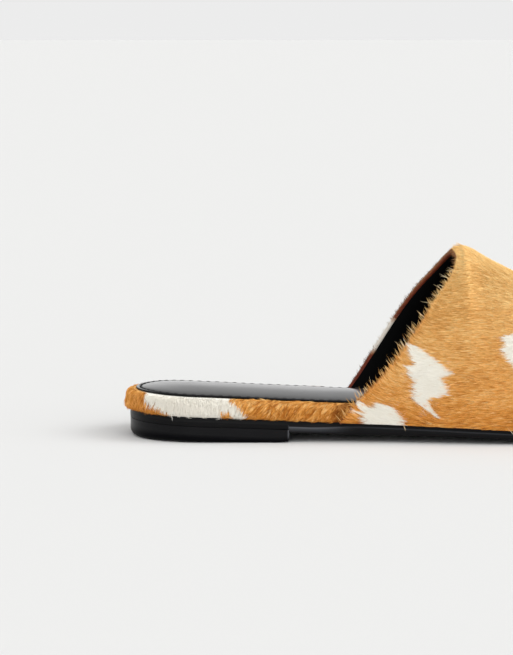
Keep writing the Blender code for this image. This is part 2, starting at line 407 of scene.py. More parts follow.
outsole_levels = rounded(undercut, shank, SOLE_EDGE_ROUND)
outsole_levels += [
    (let_in(0.04), lifted(shoulder_line, -1.90)),
    (let_in(0.00), lifted(shoulder_line, -1.70)),
    (let_in(0.08), lifted(shoulder_line, -1.55)),
    (let_in(0.45), lifted(shoulder_line, -1.20)),
    (let_in(0.60), lifted(shoulder_line, -1.05)),
    (let_in(0.60), lifted(sole_top, -0.10)),
    (stepped(sole_step, 0.75), sole_top),
    (stepped(sole_step, 4.0), sole_top),
]
outsole = as_piece(
    "outsole_unit",
    stack(outline(), outsole_levels),
    moulded_rubber("moulded_rubber", "#070708", "#151517", 0.36, 0.10),
)
sole_points = from_mesh(outsole.data)[0]

# Painted highlight: the foot of the shoulder is painted paler in front of the heel, for its reflection, and
# less so further on
below_line = shoulder_line(sole_points[:, 0]) - sole_points[:, 2]
onwards = ease((sole_points[:, 0] - 78.0) / 16.0)
shoulder_highlight = ((below_line > 1.15) & (below_line < 1.6)) * (1.0 - 0.5 * onwards)
shoulder_highlight += 0.6 * ((below_line > 1.6) & (below_line < 2.0)) * (1.0 - 0.9 * onwards)
shoulder_highlight *= past_heel(sole_points[:, 0])
mark(outsole.data, "shoulder", shoulder_highlight)
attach(outsole, "root")
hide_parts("outsole")

# ------------------------------------------------------------------------------------------
# The heel: a low block of harder black rubber, cemented under the outsole, with a straight
# breast towards the waist and rounded corners. A top piece shows as a fine line round the
# side. The matt foot is well rounded, most at the very back, where it comes down to the ground.
# ------------------------------------------------------------------------------------------
HEEL_BLOCK_LENGTH = 66.5
HEEL_CORNER = 2.2
HEEL_STEP = 1.2
HEEL_JOINT = 0.08
TOP_PIECE_LEAN = 0.05
FOOT_LIFT = 0.3
FOOT_ROUND = 1.1
FOOT_ROUND_GROWTH = 0.03
HEEL_TREAD = (
    Bottom(0.000, 3.2),
    Bottom(0.030, 2.6),
    Bottom(0.080, 1.7),
    Bottom(0.150, 0.7),
    Bottom(0.205, 0.0),
    Bottom(0.233, 0.0),
    Bottom(0.260, 1.8),
)
heel_tread = station_curve(HEEL_TREAD, "height")

# The wall above the foot, with the groove of the top piece half way up
WallLevel = namedtuple("WallLevel", "share step")
HEEL_WALL = (
    WallLevel(0.44, 0.00),
    WallLevel(0.46, 0.00),
    WallLevel(0.48, 0.02),
    WallLevel(0.50, 0.00),
    WallLevel(0.52, 0.00),
    WallLevel(0.97, 0.00),
    WallLevel(1.00, 0.00),
)


def heel_head(x):
    return tread(x) - HEEL_JOINT


def up_the_heel(share, step):
    """A level of the heel's wall, a share of the way from its foot to its head."""
    return (
        lambda x: np.full_like(x, HEEL_STEP + step),
        lambda x: heel_tread(x) + (heel_head(x) - heel_tread(x)) * share,
    )


def foot_round(x):
    """Radius of the rounded foot of the heel."""
    return FOOT_ROUND + FOOT_ROUND_GROWTH * np.clip(60.0 - x, 0.0, None)


def foot_height(x):
    """How high the flat of the foot stands over the ground."""
    return heel_tread(x) * FOOT_LIFT * ease((x - 6.0) / 14.0)


def round_the_foot(turn):
    """A level of the heel's rounded foot, from the flat underside (a quarter turn) to the wall."""
    lean = stepped(lambda x: TOP_PIECE_LEAN * ease((x - 3.0) / 16.0), HEEL_STEP)
    return (
        lambda x: lean(x) + foot_round(x) * (1.0 - math.cos(turn)),
        lambda x: foot_height(x) + foot_round(x) * (1.0 - math.sin(turn)),
    )


heel_levels = [round_the_foot(turn) for turn in np.linspace(math.pi / 2.0, 0.0, 6)]
heel_levels += [up_the_heel(level.share, level.step) for level in HEEL_WALL]
heel_block = as_piece(
    "heel_lifts",
    stack(outline(HEEL_BLOCK_LENGTH, HEEL_CORNER, 1.6), heel_levels),
    moulded_rubber("heel_rubber", "#08080a", "#0f0f12", 0.30, 0.12),
)
heel_points = from_mesh(heel_block.data)[0]
# Painted highlight on the heel's front lateral corner, in the outsole shoulder's paler grey
corner_highlight = (heel_points[:, 0] > HEEL_FRONT - 0.15) & (heel_points[:, 1] < -20.0)
above_round = heel_points[:, 2] - foot_height(heel_points[:, 0]) - foot_round(heel_points[:, 0])
mark(heel_block.data, "foot", ease((0.3 - above_round) / 0.4))
mark(heel_block.data, "shoulder", corner_highlight * ease((heel_points[:, 2] - 1.5) / 0.8))
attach(heel_block, "root")
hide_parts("heel_block")

# ------------------------------------------------------------------------------------------
# The footbed cover: a strip and a top of calf leather with its hair on, wrapped over a padded
# board, so that its upper edge is soft. The coat is tan with ivory patches. The hair itself
# is made further down, and this is the skin it grows from.
# ------------------------------------------------------------------------------------------
FOOTBED_THICKNESS = 7.7
FOOTBED_TOE_THICKNESS = 5.2
FOOTBED_EDGE_RADIUS = 3.0
WALL = 2.0
MEDIAL_DROP = 0.5
WAIST_DROP = 0.3
DROP_FROM = 30.0
DROP_UNTIL = 118.0
POLE_X = 228.0
INSTEP_HEIGHT = 77.0

# Ridge of the vamp: shares of the length, of the ball width and of the instep height
Ridge = namedtuple("Ridge", "along side rise")
RIDGE = (
    Ridge(0.300, 0.000, 0.800),
    Ridge(0.467, 0.012, 0.935),
    Ridge(0.522, 0.024, 0.980),
    Ridge(0.537, 0.026, 1.000),
    Ridge(0.549, 0.028, 0.988),
    Ridge(0.565, 0.030, 0.955),
    Ridge(0.590, 0.033, 0.909),
    Ridge(0.623, 0.037, 0.857),
    Ridge(0.720, 0.050, 0.730),
    Ridge(0.800, 0.055, 0.620),
    Ridge(0.887, 0.055, 0.505),
    Ridge(1.000, 0.060, 0.365),
)
ridge_side = station_curve(RIDGE, "side", BALL_WIDTH)
ridge_height = station_curve(RIDGE, "rise", INSTEP_HEIGHT)

# Outlines of the ivory patches, seen from the side (x, z) or from above (x, y)
Patch = namedtuple("Patch", "view outline")
PATCHES = (
    Patch("lateral", (
        (112.0, 40.5), (116.0, 39.5), (123.5, 34.2), (130.5, 28.5), (126.5, 27.2), (126.8, 24.5),
        (129.0, 19.8), (126.2, 20.4), (125.2, 18.5), (123.4, 19.2), (121.2, 17.7), (121.0, 16.2),
        (122.6, 13.8), (125.0, 10.6), (124.4, 10.4), (121.6, 12.8), (118.4, 15.0), (114.8, 17.8),
        (113.8, 23.0), (115.6, 24.8), (113.0, 27.2),
        (111.8, 31.8), (115.4, 31.4), (113.8, 34.6), (112.8, 37.8),
    )),
    Patch("lateral", (
        (90.6, 17.9), (93.1, 17.5), (95.1, 16.2), (96.6, 14.6), (98.7, 14.5), (99.9, 16.6),
        (102.7, 16.2), (105.2, 15.4), (107.0, 14.2), (109.0, 12.1), (110.3, 10.6), (111.5, 6.0),
        (95.0, 6.0), (93.4, 10.2), (95.0, 11.2), (90.0, 13.2), (90.4, 13.9), (94.8, 12.7),
        (92.8, 14.6), (91.2, 16.2),
    )),
    Patch("lateral", (
        (149.6, 43.0), (151.4, 39.6), (149.4, 38.2), (152.2, 34.0), (155.0, 31.0), (161.8, 28.0),
        (167.8, 29.5), (164.8, 33.5), (169.8, 37.0), (164.8, 42.0), (156.8, 44.4),
    )),
    Patch("lateral", (
        (196.0, 23.0), (201.0, 24.5), (207.0, 20.5), (214.0, 19.0), (209.0, 15.0), (203.0, 10.5),
        (201.0, 15.5), (197.0, 17.5),
    )),
    Patch("rand_lateral", (
        (6.6, 16.2), (7.2, 18.2), (8.4, 20.6), (11.0, 24.0), (38.4, 24.0), (39.4, 18.8),
        (41.9, 16.6), (44.9, 14.2), (46.8, 12.4), (48.6, 10.2), (42.8, 9.6), (41.8, 12.2),
        (36.2, 13.4), (38.0, 11.6), (37.2, 6.0), (18.4, 6.0), (16.8, 11.2), (13.8, 13.4),
        (10.6, 14.4), (8.0, 14.6),
    )),
    Patch("rand_medial", (
        (44.0, 24.0), (69.0, 24.0), (73.0, 17.0), (68.0, 13.5), (70.0, 6.0), (52.0, 6.0),
        (55.0, 11.5), (47.0, 15.5),
    )),
    Patch("medial", (
        (94.0, 28.0), (103.0, 31.5), (110.0, 33.0), (118.0, 38.0), (121.0, 44.0), (114.5, 45.5),
        (107.0, 44.5), (98.0, 38.0),
    )),
    Patch("medial", (
        (138.0, 27.0), (146.0, 30.5), (155.0, 28.0), (163.0, 21.0), (158.0, 19.0), (161.0, 12.0),
        (150.0, 14.0), (145.5, 20.0), (139.5, 21.0),
    )),
    Patch("medial", (
        (184.0, 16.5), (190.0, 22.5), (199.0, 21.0), (206.0, 14.0), (199.0, 11.0), (194.0, 6.0),
        (189.0, 11.5),
    )),
    Patch("above", (
        (172.0, -6.0), (177.0, 1.0), (175.0, 8.0), (185.0, 13.0), (196.0, 10.0), (193.0, 4.0),
        (201.0, -1.0), (190.0, -4.0), (182.0, -9.0),
    )),
)


def within(xs, ys, corners):
    """Which points lie inside a closed outline."""
    inside = np.zeros(len(xs), bool)
    for (ax, ay), (bx, by) in zip(corners, corners[1:] + corners[:1]):
        crosses = (ay > ys) != (by > ys)
        rise = by - ay if by != ay else 1.0
        inside ^= crosses & (xs < (bx - ax) * (ys - ay) / rise + ax)
    return inside


def ivory(points, on_rand=False):
    """1 where the coat is ivory and 0 where it is tan, at points in the shoe's millimetres."""
    x, y, z = points.T
    lateral = y < (plan_centre(x) if on_rand else ridge_side(x))
    top = z > ridge_height(x) * 0.80
    found = np.zeros(len(x), bool)
    for patch in PATCHES:
        if patch.view == "above":
            side, height = top & (not on_rand), y
        else:
            side = lateral if patch.view.endswith("lateral") else ~lateral
            side = side & (patch.view.startswith("rand") == on_rand)
            height = z
        found |= side & within(x, height, patch.outline)
    return found.astype(np.float32)


def footbed_bottom(x):
    return sole_top(x) + GAP


def footbed_top(x):
    thinning = ease((x - 0.5 * LENGTH) / (POLE_X - 0.5 * LENGTH))
    return footbed_bottom(x) + FOOTBED_THICKNESS + (FOOTBED_TOE_THICKNESS - FOOTBED_THICKNESS) * thinning


def under_upper(x):
    """How far the footbed is let in where the vamp stands round it."""
    room = WALL + GAP - UPPER_STEP
    return room * ease((x - VAMP_BACK + 3.0) / 3.0)


def settled(piece):
    """Lets the top of the footbed and what lies on it down a little along the waist, most on
    the medial side."""
    points = from_mesh(piece.data)[0]
    x, y, z = points.T
    medial = ease((y - plan_centre(x) - 2.0) / 18.0) * ease((x - 12.0) / 20.0)
    waist = ease((x - DROP_FROM) / 30.0)
    drop = (MEDIAL_DROP * medial + WAIST_DROP * waist) * ease((DROP_UNTIL - x) / 20.0)
    points[:, 2] -= drop * np.clip((z - footbed_bottom(x)) / FOOTBED_THICKNESS, 0.0, 1.0)
    for vertex, spot in zip(piece.data.vertices, in_frame(points)):
        vertex.co = spot


COAT_DEEP, COAT_MID, COAT_LIGHT, COAT_GLINT = "#b0641e", "#dd953b", "#efb05b", "#f8d18d"
# Painted light: the tan is mixed towards these paler tones over these heights, as if lit from above
LIT_TAN_DEEP, LIT_TAN_LIGHT = "#cfa656", "#f4ebb2"
TOP_LIGHT_FROM, TOP_LIGHT_TO = 4.0, 66.0
# Painted shade: a brown multiplied into the hide and the hair, as much as their inside mark says, where they
# lie in shade
SHADE_BROWN = "#7c3c02"
IVORY_DEEP, IVORY_MID, IVORY_LIGHT = "#e8e4d9", "#ebe8de", "#efece3"


def mixed_coat(tree, shade, patch):
    """Tan and ivory, each from its deep to its light tone, and which of them shows. The tan is painted paler
    with height, as painted light from above."""
    tans = add(tree, "ValToRGB", [("Fac", shade)])
    stops = tans.color_ramp.elements
    stops[0].color, stops[1].color = tone(COAT_DEEP), tone(COAT_GLINT)
    for place, code in ((0.38, COAT_MID), (0.72, COAT_LIGHT)):
        stops.new(place).color = tone(code)
    ivories = add(tree, "ValToRGB", [("Fac", shade)])
    stops = ivories.color_ramp.elements
    stops[0].color, stops[1].color = tone(IVORY_DEEP), tone(IVORY_LIGHT)
    stops.new(0.4).color = tone(IVORY_MID)
    lit_tans = add(tree, "ValToRGB", [("Fac", shade)])
    stops = lit_tans.color_ramp.elements
    stops[0].color, stops[1].color = tone(LIT_TAN_DEEP), tone(LIT_TAN_LIGHT)
    where = add(tree, "TexCoord").outputs["Object"]
    height = add(tree, "SeparateXYZ", [("Vector", where)]).outputs["Z"]
    # Painted light from above: the tan is mixed towards paler tones with height
    top_light = add(
        tree,
        "MapRange",
        [("Value", height), ("From Min", TOP_LIGHT_FROM * MM), ("From Max", TOP_LIGHT_TO * MM), ("To Max", 0.50)],
    )
    tans_lit_from_above = add(
        tree, "Mix", [("Factor", top_light.outputs[0]), ("A", tans.outputs[0]), ("B", lit_tans.outputs[0])],
        data_type="RGBA",
    )
    both = add(
        tree, "Mix", [("Factor", patch), ("A", tans_lit_from_above.outputs["Result"]), ("B", ivories.outputs[0])],
        data_type="RGBA",
    )
    return both.outputs["Result"]


def hair_on_hide(name):
    """Calf skin under its coat: streaks along the hair, darker between the hairs, no gloss, and painted
    shade brown where the hide lies in shade.
    """
    material, tree, shader = new_finish(name)
    where = add(tree, "TexCoord").outputs["Object"]
    drawn = add(tree, "Mapping", [("Vector", where), ("Scale", (0.12, 1.0, 1.0))])
    streaks = add(tree, "TexNoise", [("Vector", drawn.outputs[0]), ("Scale", per(0.6)), ("Detail", 4.0)])
    shade = add(tree, "MapRange", [("Value", streaks.outputs[0]), ("From Min", 0.3), ("From Max", 0.75)])
    patch = add(tree, "Attribute", attribute_name="ivory").outputs["Fac"]
    inside = add(tree, "Attribute", attribute_name="inside").outputs["Fac"]
    # Painted shade: the hide is darkened with the shade brown where its inside mark says it lies in shade
    coat_in_shade = add(
        tree,
        "Mix",
        [("Factor", inside), ("A", mixed_coat(tree, shade.outputs[0], patch)), ("B", tone(SHADE_BROWN))],
        data_type="RGBA",
        blend_type="MULTIPLY",
    )
    relief = add(tree, "Bump", [("Height", streaks.outputs[0]), ("Strength", 0.5), ("Distance", 0.2 * MM)])
    plugged(tree, shader, [
        ("Base Color", coat_in_shade.outputs["Result"]),
        ("Normal", relief.outputs[0]),
        ("Roughness", 0.7),
        ("IOR", 1.5),
    ])
    return material


skin = hair_on_hide("hair_on_calf_hide")
cover_levels = [
    (stepped(under_upper, 3.4), footbed_bottom),
    (stepped(under_upper, 1.1), footbed_bottom),
    (stepped(under_upper, 0.9), lifted(footbed_bottom, 0.3)),
    (stepped(under_upper, 0.3), lifted(footbed_bottom, 0.8)),
    (under_upper, lifted(footbed_bottom, 1.7)),
]
for turn in np.linspace(0.0, math.pi / 2.0, 9):
    cover_levels.append((
        stepped(under_upper, FOOTBED_EDGE_RADIUS * (1.0 - math.cos(turn))),
        lifted(footbed_top, -FOOTBED_EDGE_RADIUS * (1.0 - math.sin(turn))),
    ))
cover_levels.append((stepped(under_upper, 6.0), footbed_top))
footbed_cover = as_piece("footbed_cover", stack(outline(), cover_levels), skin, 60.0)
settled(footbed_cover)
cover_points, cover_normals, cover_faces = from_mesh(footbed_cover.data)
mark(footbed_cover.data, "ivory", ivory(cover_points, on_rand=True))
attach(footbed_cover, "root")
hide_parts("footbed")

# ------------------------------------------------------------------------------------------
# The sock: smooth black calf leather over thin foam, cut a little smaller than the footbed,
# glued down and stitched round its edge. The thread pulls a shallow channel, so the edge
# stands as a narrow bead outside it and the middle crowns under the foot.
# ------------------------------------------------------------------------------------------
SOCK_STEP = 3.6
STITCH_INSET = 1.75
STITCH_LENGTH = 2.9
STITCH_PITCH = 3.7
STITCH_HEIGHT = 0.32
STITCH_BOW = 0.14
STITCH_SINK = 0.16
THREAD = 0.6

# Section of the sock from its edge inwards
Section = namedtuple("Section", "step rise")
SOCK_SECTION = (
    Section(0.00, 0.00),
    Section(-0.08, 0.16),
    Section(0.00, 0.34),
    Section(0.22, 0.50),
    Section(0.60, 0.58),
    Section(1.05, 0.56),
    Section(1.35, 0.42),
    Section(1.60, 0.18),
    Section(1.95, 0.18),
    Section(2.20, 0.42),
    Section(2.60, 0.64),
    Section(3.60, 0.86),
    Section(6.00, 1.16),
    Section(9.00, 1.46),
    Section(13.0, 1.80),
)

# Two levels further in than its last row, which crown the middle
SOCK_CROWN = (Section(4.0, 2.06), Section(8.0, 2.22))


def sock_base(x):
    return footbed_top(x) + GAP


def sock_step(x):
    return under_upper(x) + SOCK_STEP


def rim_distance(points):
    """How far inside the plan of the last a point lies."""
    x, y = points[:, 0], points[:, 1] - plan_centre(points[:, 0])
    arc = HEEL_RADIUS - np.hypot(x - HEEL_RADIUS, y)
    return np.where(x < HEEL_RADIUS, arc, plan_half(x) - np.abs(y))


def crowned(further):
    """A step past the section's last row, which narrows away where the toe leaves no room."""
    return lambda x: sock_step(x) + SOCK_SECTION[-1].step + further * ease((215.0 - x) / 30.0)


def sock_leather(name):
    """Polished black calf: a clear finish over a fine grain, soft gloss, faint press marks, and painted
    shade on the bead and channel along its stitched edge, which is also duller.
    """
    material, tree, shader = new_finish(name)
    where = add(tree, "TexCoord").outputs["Object"]
    grain = add(tree, "TexVoronoi", [("Vector", where), ("Scale", per(0.7))], feature="F1")
    cloud = add(tree, "TexNoise", [("Vector", where), ("Scale", per(14.0)), ("Detail", 3.0)])
    rough = add(tree, "MapRange", [("Value", cloud.outputs[0]), ("To Min", 0.24), ("To Max", 0.36)])
    relief = add(tree, "Bump", [("Height", grain.outputs[0]), ("Strength", 0.10), ("Distance", 0.05 * MM)])
    shades = add(
        tree, "Mix", [("Factor", cloud.outputs[0]), ("A", tone("#0c0c0e")), ("B", tone("#17171a"))],
        data_type="RGBA",
    )
    # Painted shade: the edge mark turns the leather darker and duller
    edge = add(tree, "Attribute", attribute_name="edge").outputs["Fac"]
    painted_edge_shade = add(
        tree, "Mix", [("Factor", edge), ("A", shades.outputs["Result"]), ("B", tone("#050506"))],
        data_type="RGBA",
    )
    dull = add(tree, "Mix", [("Factor", edge), ("A", rough.outputs[0]), ("B", 0.6)], data_type="FLOAT")
    gloss = add(tree, "MapRange", [("Value", edge), ("To Min", 0.5), ("To Max", 0.12)])
    coat = add(tree, "MapRange", [("Value", edge), ("To Min", 0.8), ("To Max", 0.0)])
    plugged(tree, shader, [
        ("Base Color", painted_edge_shade.outputs["Result"]),
        ("Roughness", dull.outputs["Result"]),
        ("Specular IOR Level", gloss.outputs[0]),
        ("Coat Weight", coat.outputs[0]),
        ("Coat Roughness", 0.08),
        ("Normal", relief.outputs[0]),
        ("IOR", 1.5),
    ])
    return material


sock_levels = [(stepped(sock_step, 3.0), sock_base)]
sock_levels += [(stepped(sock_step, row.step), lifted(sock_base, row.rise)) for row in SOCK_SECTION]
sock_levels += [(crowned(row.step), lifted(sock_base, row.rise)) for row in SOCK_CROWN]
black_calf = sock_leather("polished_black_calf")
sock = as_piece("sock", stack(outline(), sock_levels), black_calf, 70.0)
settled(sock)
sock_points = from_mesh(sock.data)[0]
# Painted shade: the bead and stitch channel along the edge are marked darker and duller, except the bead
# round the back of the heel
from_edge = rim_distance(sock_points) - sock_step(sock_points[:, 0])
bead = ease(from_edge / 0.2) * ease((1.5 - from_edge) / 0.2) * ease((14.0 - sock_points[:, 0]) / 8.0)
mark(sock.data, "edge", ease((2.6 - from_edge) / 0.5) * (1.0 - bead))
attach(sock, "root")
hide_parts("insock")


def waxed_thread(name):
    """Waxed black polyester thread, mottled at the size of its plies."""
    material, tree, shader = new_finish(name)
    where = add(tree, "TexCoord").outputs["Object"]
    plies = add(tree, "TexNoise", [("Vector", where), ("Scale", per(0.5)), ("Detail", 2.0)])
    shades = add(
        tree, "Mix", [("Factor", plies.outputs[0]), ("A", tone("#060607")), ("B", tone("#1b1b1e"))],
        data_type="RGBA",
    )
    plugged(tree, shader, [("Base Color", shades.outputs["Result"]), ("Roughness", 0.45), ("IOR", 1.5)])
    return material


def along_ring(ring, spacing):
    """Evenly spaced places round a closed ring of points, with the direction at each."""
    closed = np.vstack((ring, ring[:1]))
    lengths = np.linalg.norm(np.diff(closed, axis=0), axis=1)
    reach = np.concatenate(([0.0], np.cumsum(lengths)))
    count = round(reach[-1] / spacing)
    places = (np.arange(count) + 0.5) * reach[-1] / count
    spots = np.column_stack([np.interp(places, reach, closed[:, k]) for k in range(closed.shape[1])])
    ahead = np.column_stack([np.interp(places + 0.3, reach, closed[:, k]) for k in range(closed.shape[1])])
    way = ahead - spots
    return spots, way / np.linalg.norm(way, axis=1)[:, None]


def one_stitch(mesh, spot, way):
    """A short rod of thread, thickest in the middle, that dips into the leather at both ends."""
    made = bmesh.ops.create_uvsphere(mesh, u_segments=8, v_segments=6, radius=1.0)["verts"]
    across = np.cross((0.0, 0.0, 1.0), way)
    for vertex in made:
        u, v, w = vertex.co
        bow = STITCH_BOW * (1.0 - w * w) - STITCH_SINK
        here = spot + way * w * STITCH_LENGTH / 2.0 + across * u * THREAD / 2.0
        here = here + np.array((0.0, 0.0, v * THREAD / 2.0 + bow + THREAD / 2.0))
        vertex.co = in_frame(here)


stitch_line = inset(outline(), stepped(sock_step, STITCH_INSET))
stitch_line = np.column_stack((stitch_line, sock_base(stitch_line[:, 0]) + STITCH_HEIGHT))
stitching = bmesh.new()
for spot, way in zip(*along_ring(stitch_line, STITCH_PITCH)):
    one_stitch(stitching, spot, way)
sock_stitches = as_piece("sock_stitches", stitching, waxed_thread("waxed_black_thread"), 80.0)
settled(sock_stitches)
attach(sock_stitches, "root")

# ------------------------------------------------------------------------------------------
# The vamp: one panel of the same hair-on calf, lasted over the toe and let in between the
# footbed and the outsole. Its topline edge is folded over, hair and all, and ends a little
# way down inside.
# ------------------------------------------------------------------------------------------
HIDE = 0.9
FOLD_RADIUS = 1.0
FOLD_WIDTH = 1.3
COLUMNS = 72
ROWS = 64
TOE_COLUMNS = 36
SEAM_REACH = 0.02

# Side view of the topline on each side, from the sole up to the ridge
Topline = namedtuple("Topline", "height lateral medial")
TOPLINE = (
    Topline(8.0, 85.8, 88.4),
    Topline(16.0, 92.4, 94.3),
    Topline(30.0, 105.8, 103.0),
    Topline(45.0, 116.6, 111.9),
    Topline(55.0, 123.4, 118.4),
    Topline(60.0, 127.3, 122.1),
    Topline(66.0, 131.6, 126.9),
    Topline(70.0, 133.9, 130.0),
    Topline(73.5, 134.9, 132.4),
    Topline(76.0, 134.2, 134.2),
)

# Section of the vamp: how far the wall swells past the sole, how high it stands before it
# turns in, and how flat it is on top
Shape = namedtuple("Shape", "along swell stand crown")
SHAPE = (
    Shape(0.350, 1.0, 0.60, 0.50),
    Shape(0.530, 2.0, 0.60, 0.50),
    Shape(0.680, 3.0, 0.58, 0.54),
    Shape(0.800, 2.6, 0.60, 0.58),
    Shape(0.887, 2.0, 0.66, 0.60),
)

# Soft troughs of the vamp, where it gives over the ball: place of the middle on the ridge,
# how far back it runs at the sole, its width and its depth
Trough = namedtuple("Trough", "x back width depth")
TROUGHS = (
    Trough(163.0, 4.0, 7.0, 0.35),
    Trough(176.0, 7.0, 6.0, 0.50),
    Trough(187.0, 9.0, 6.5, 0.30),
)

swell = station_curve(SHAPE, "swell")
stand = station_curve(SHAPE, "stand")
crown = station_curve(SHAPE, "crown")
topline_heights = [row.height for row in TOPLINE]
lateral_topline = smooth(topline_heights, [row.lateral for row in TOPLINE])
medial_topline = smooth(topline_heights, [row.medial for row in TOPLINE])


def vamp_section(t, x):
    """Share of the half width and share of the height at t = 0 (sole) to 1 (ridge)."""
    foot = (1.0 - t) ** 3
    wall = 3.0 * t * (1.0 - t) ** 2
    roof = 3.0 * t * t * (1.0 - t)
    out = foot + wall * (1.0 + swell(x) / half_width(x)) + roof * crown(x)
    up = wall * stand(x) + roof + t ** 3
    return out, up


def vamp_height(x, up):
    base = sole_top(x) + GAP
    return base + (ridge_height(x) - base) * up


def topline(z, side):
    return np.where(side < 0.0, lateral_topline(z), medial_topline(z))


def inside_edge(points):
    """How far in from the topline a point of the vamp lies, negative past it."""
    x, y, z = points.T
    side = np.where(y < ridge_side(x), -1.0, 1.0)
    return (x - topline(z, side)) * 0.8


def vamp_point(along, around):
    """Points of the outside: along 0 at the topline and 1 at the toe cap, around -1 at the
    lateral sole edge, 0 on the ridge and 1 at the medial sole edge."""
    side = np.where(around < 0.0, -1.0, 1.0)
    t = 1.0 - np.abs(around)
    x = np.full_like(t, POLE_X)
    for _ in range(16):
        out, up = vamp_section(t, x)
        z = vamp_height(x, up)
        x = topline(z, side) * (1.0 - along) + POLE_X * along
    edge = plan_centre(x) + side * (plan_half(x) + UPPER_STEP)
    y = ridge_side(x) + (edge - ridge_side(x)) * out
    return np.stack((x, y, z), axis=-1)


def toe_point(turn, around):
    """Points of the toe cap: turn -1 (lateral) over 0 (tip) to 1 (medial), around 0 to 1 (pole)."""
    angle = turn * math.pi / 2.0
    x = POLE_X + (LENGTH - POLE_X) * np.cos(angle)
    side = np.where(turn < 0.0, -1.0, 1.0)
    pole = np.array((POLE_X, float(ridge_side(POLE_X))))
    edge = np.stack((x, plan_centre(x) + side * plan_half(x)), axis=-1)
    away = edge - pole
    edge = edge + away / np.linalg.norm(away, axis=-1)[..., None] * UPPER_STEP
    out, up = vamp_section(around, np.full_like(x, POLE_X))
    flat = pole + (edge - pole) * out[..., None]
    return np.concatenate((flat, vamp_height(flat[..., 0], up)[..., None]), axis=-1)


def facing(grid):
    """Outward unit normals of a grid of points."""
    normals = np.cross(np.gradient(grid, axis=1), np.gradient(grid, axis=0))
    size = np.linalg.norm(normals, axis=-1)[..., None]
    return normals / np.where(size > 1e-9, size, 1.0)


def worn(grid, normals):
    """The grid with the soft troughs pressed in."""
    x, z = grid[..., 0], grid[..., 2]
    height = np.clip(z / np.clip(ridge_height(x), 1.0, None), 0.0, 1.0)
    depth = np.zeros_like(x)
    for trough in TROUGHS:
        middle = trough.x - trough.back * (1.0 - height)
        near = np.exp(-((x - middle) / trough.width) ** 2 * 2.0)
        depth += trough.depth * near * ease((height - 0.25) / 0.35)
    return grid - normals * depth[..., None]


def joined(grids):
    """Grids of points as one sheet, its seams merged."""
    mesh = bmesh.new()
    for grid in grids:
        rows, columns = grid.shape[:2]
        made = bmesh.ops.create_grid(mesh, x_segments=columns - 1, y_segments=rows - 1, size=1.0)
        for vertex, spot in zip(made["verts"], in_frame(grid.reshape(-1, 3))):
            vertex.co = spot
    bmesh.ops.remove_doubles(mesh, verts=mesh.verts, dist=SEAM_REACH * MM)
    return mesh


def shelled(grids, name, finish, thickness):
    """Grids of points as one sheet, with a wall grown inwards."""
    piece = as_piece(name, joined(grids), finish, 50.0)
    wall = piece.modifiers.new("wall", "SOLIDIFY")
    wall.thickness = thickness * MM
    wall.offset = -1.0
    return piece


around_rows = np.linspace(-1.0, 1.0, ROWS + 1)
alongs = np.linspace(0.0, 1.0, COLUMNS + 1)
vamp_grid = vamp_point(*np.meshgrid(alongs, around_rows))
vamp_normals = facing(vamp_grid)
if vamp_normals[ROWS // 2, 10, 2] < 0.0:
    vamp_normals = -vamp_normals
toe_rows = 1.0 - np.abs(around_rows[:ROWS // 2 + 1])
toe_grid = toe_point(*np.meshgrid(np.linspace(-1.0, 1.0, TOE_COLUMNS + 1), toe_rows))
toe_normals = facing(toe_grid)
if toe_normals[2, TOE_COLUMNS // 2, 0] < 0.0:
    toe_normals = -toe_normals
toe_normals[-1] = (0.0, 0.0, 1.0)
vamp_grid = worn(vamp_grid, vamp_normals)

# The folded edge: the sheet turns round over the topline and ends inside
edge_line, edge_normals = vamp_grid[:, :1], vamp_normals[:, :1]
edge_out = vamp_grid[:, :1] - vamp_grid[:, 1:2]
edge_out = edge_out - (edge_out * edge_normals).sum(-1)[..., None] * edge_normals
edge_out /= np.linalg.norm(edge_out, axis=-1)[..., None]
core = edge_line - edge_normals * FOLD_RADIUS
turns = np.linspace(math.pi, 0.0, 10)[:-1, None]
fold = core + FOLD_RADIUS * (edge_normals * np.cos(turns) + edge_out * np.sin(turns))
flap = fold[:, :1] - edge_out * np.array((FOLD_WIDTH, FOLD_WIDTH / 2.0))[:, None]
folded_grid = np.concatenate((flap, fold, vamp_grid), axis=1)

vamp_hide = shelled([folded_grid, toe_grid], "vamp_hide", skin, HIDE)
vamp_points, vamp_facing, _ = from_mesh(vamp_hide.data)
hide_patch = ivory(vamp_points)
mark(vamp_hide.data, "ivory", hide_patch)
# Painted shade on the hide: darkened where it turns in at the fold to face the middle, along the topline
# (further in on the medial side) and just above the sole, less on the ivory patches
outward = vamp_points - np.column_stack((
    vamp_points[:, 0], ridge_side(vamp_points[:, 0]), vamp_points[:, 2] * 0.5
))
turned_under = np.clip(-(outward * vamp_facing).sum(-1) / 6.0, 0.0, 1.0)
from_topline = inside_edge(vamp_points)
dark_from = np.where(vamp_points[:, 1] > ridge_side(vamp_points[:, 0]), 2.6, 0.1)
above_sole = vamp_points[:, 2] - sole_top(vamp_points[:, 0])
at_topline = 0.85 * ease((dark_from - from_topline) / (0.5 + dark_from * 0.7))
at_sole = 0.9 * ease((1.4 - above_sole) / 0.6)
hide_shade = np.maximum.reduce((turned_under, at_topline, at_sole))
mark(vamp_hide.data, "inside", (1.0 - 0.7 * hide_patch) * hide_shade)
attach(vamp_hide, "root")
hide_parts("upper")

# ------------------------------------------------------------------------------------------
# The vamp lining: thin black pigskin, glued to the inside of the vamp up to the folded edge.
# It is matt and drinks the light, so that the opening looks almost black.
# ------------------------------------------------------------------------------------------
LINING = 0.5
LINING_INSIDE = 2.05
LINING_SHORT = 0.2


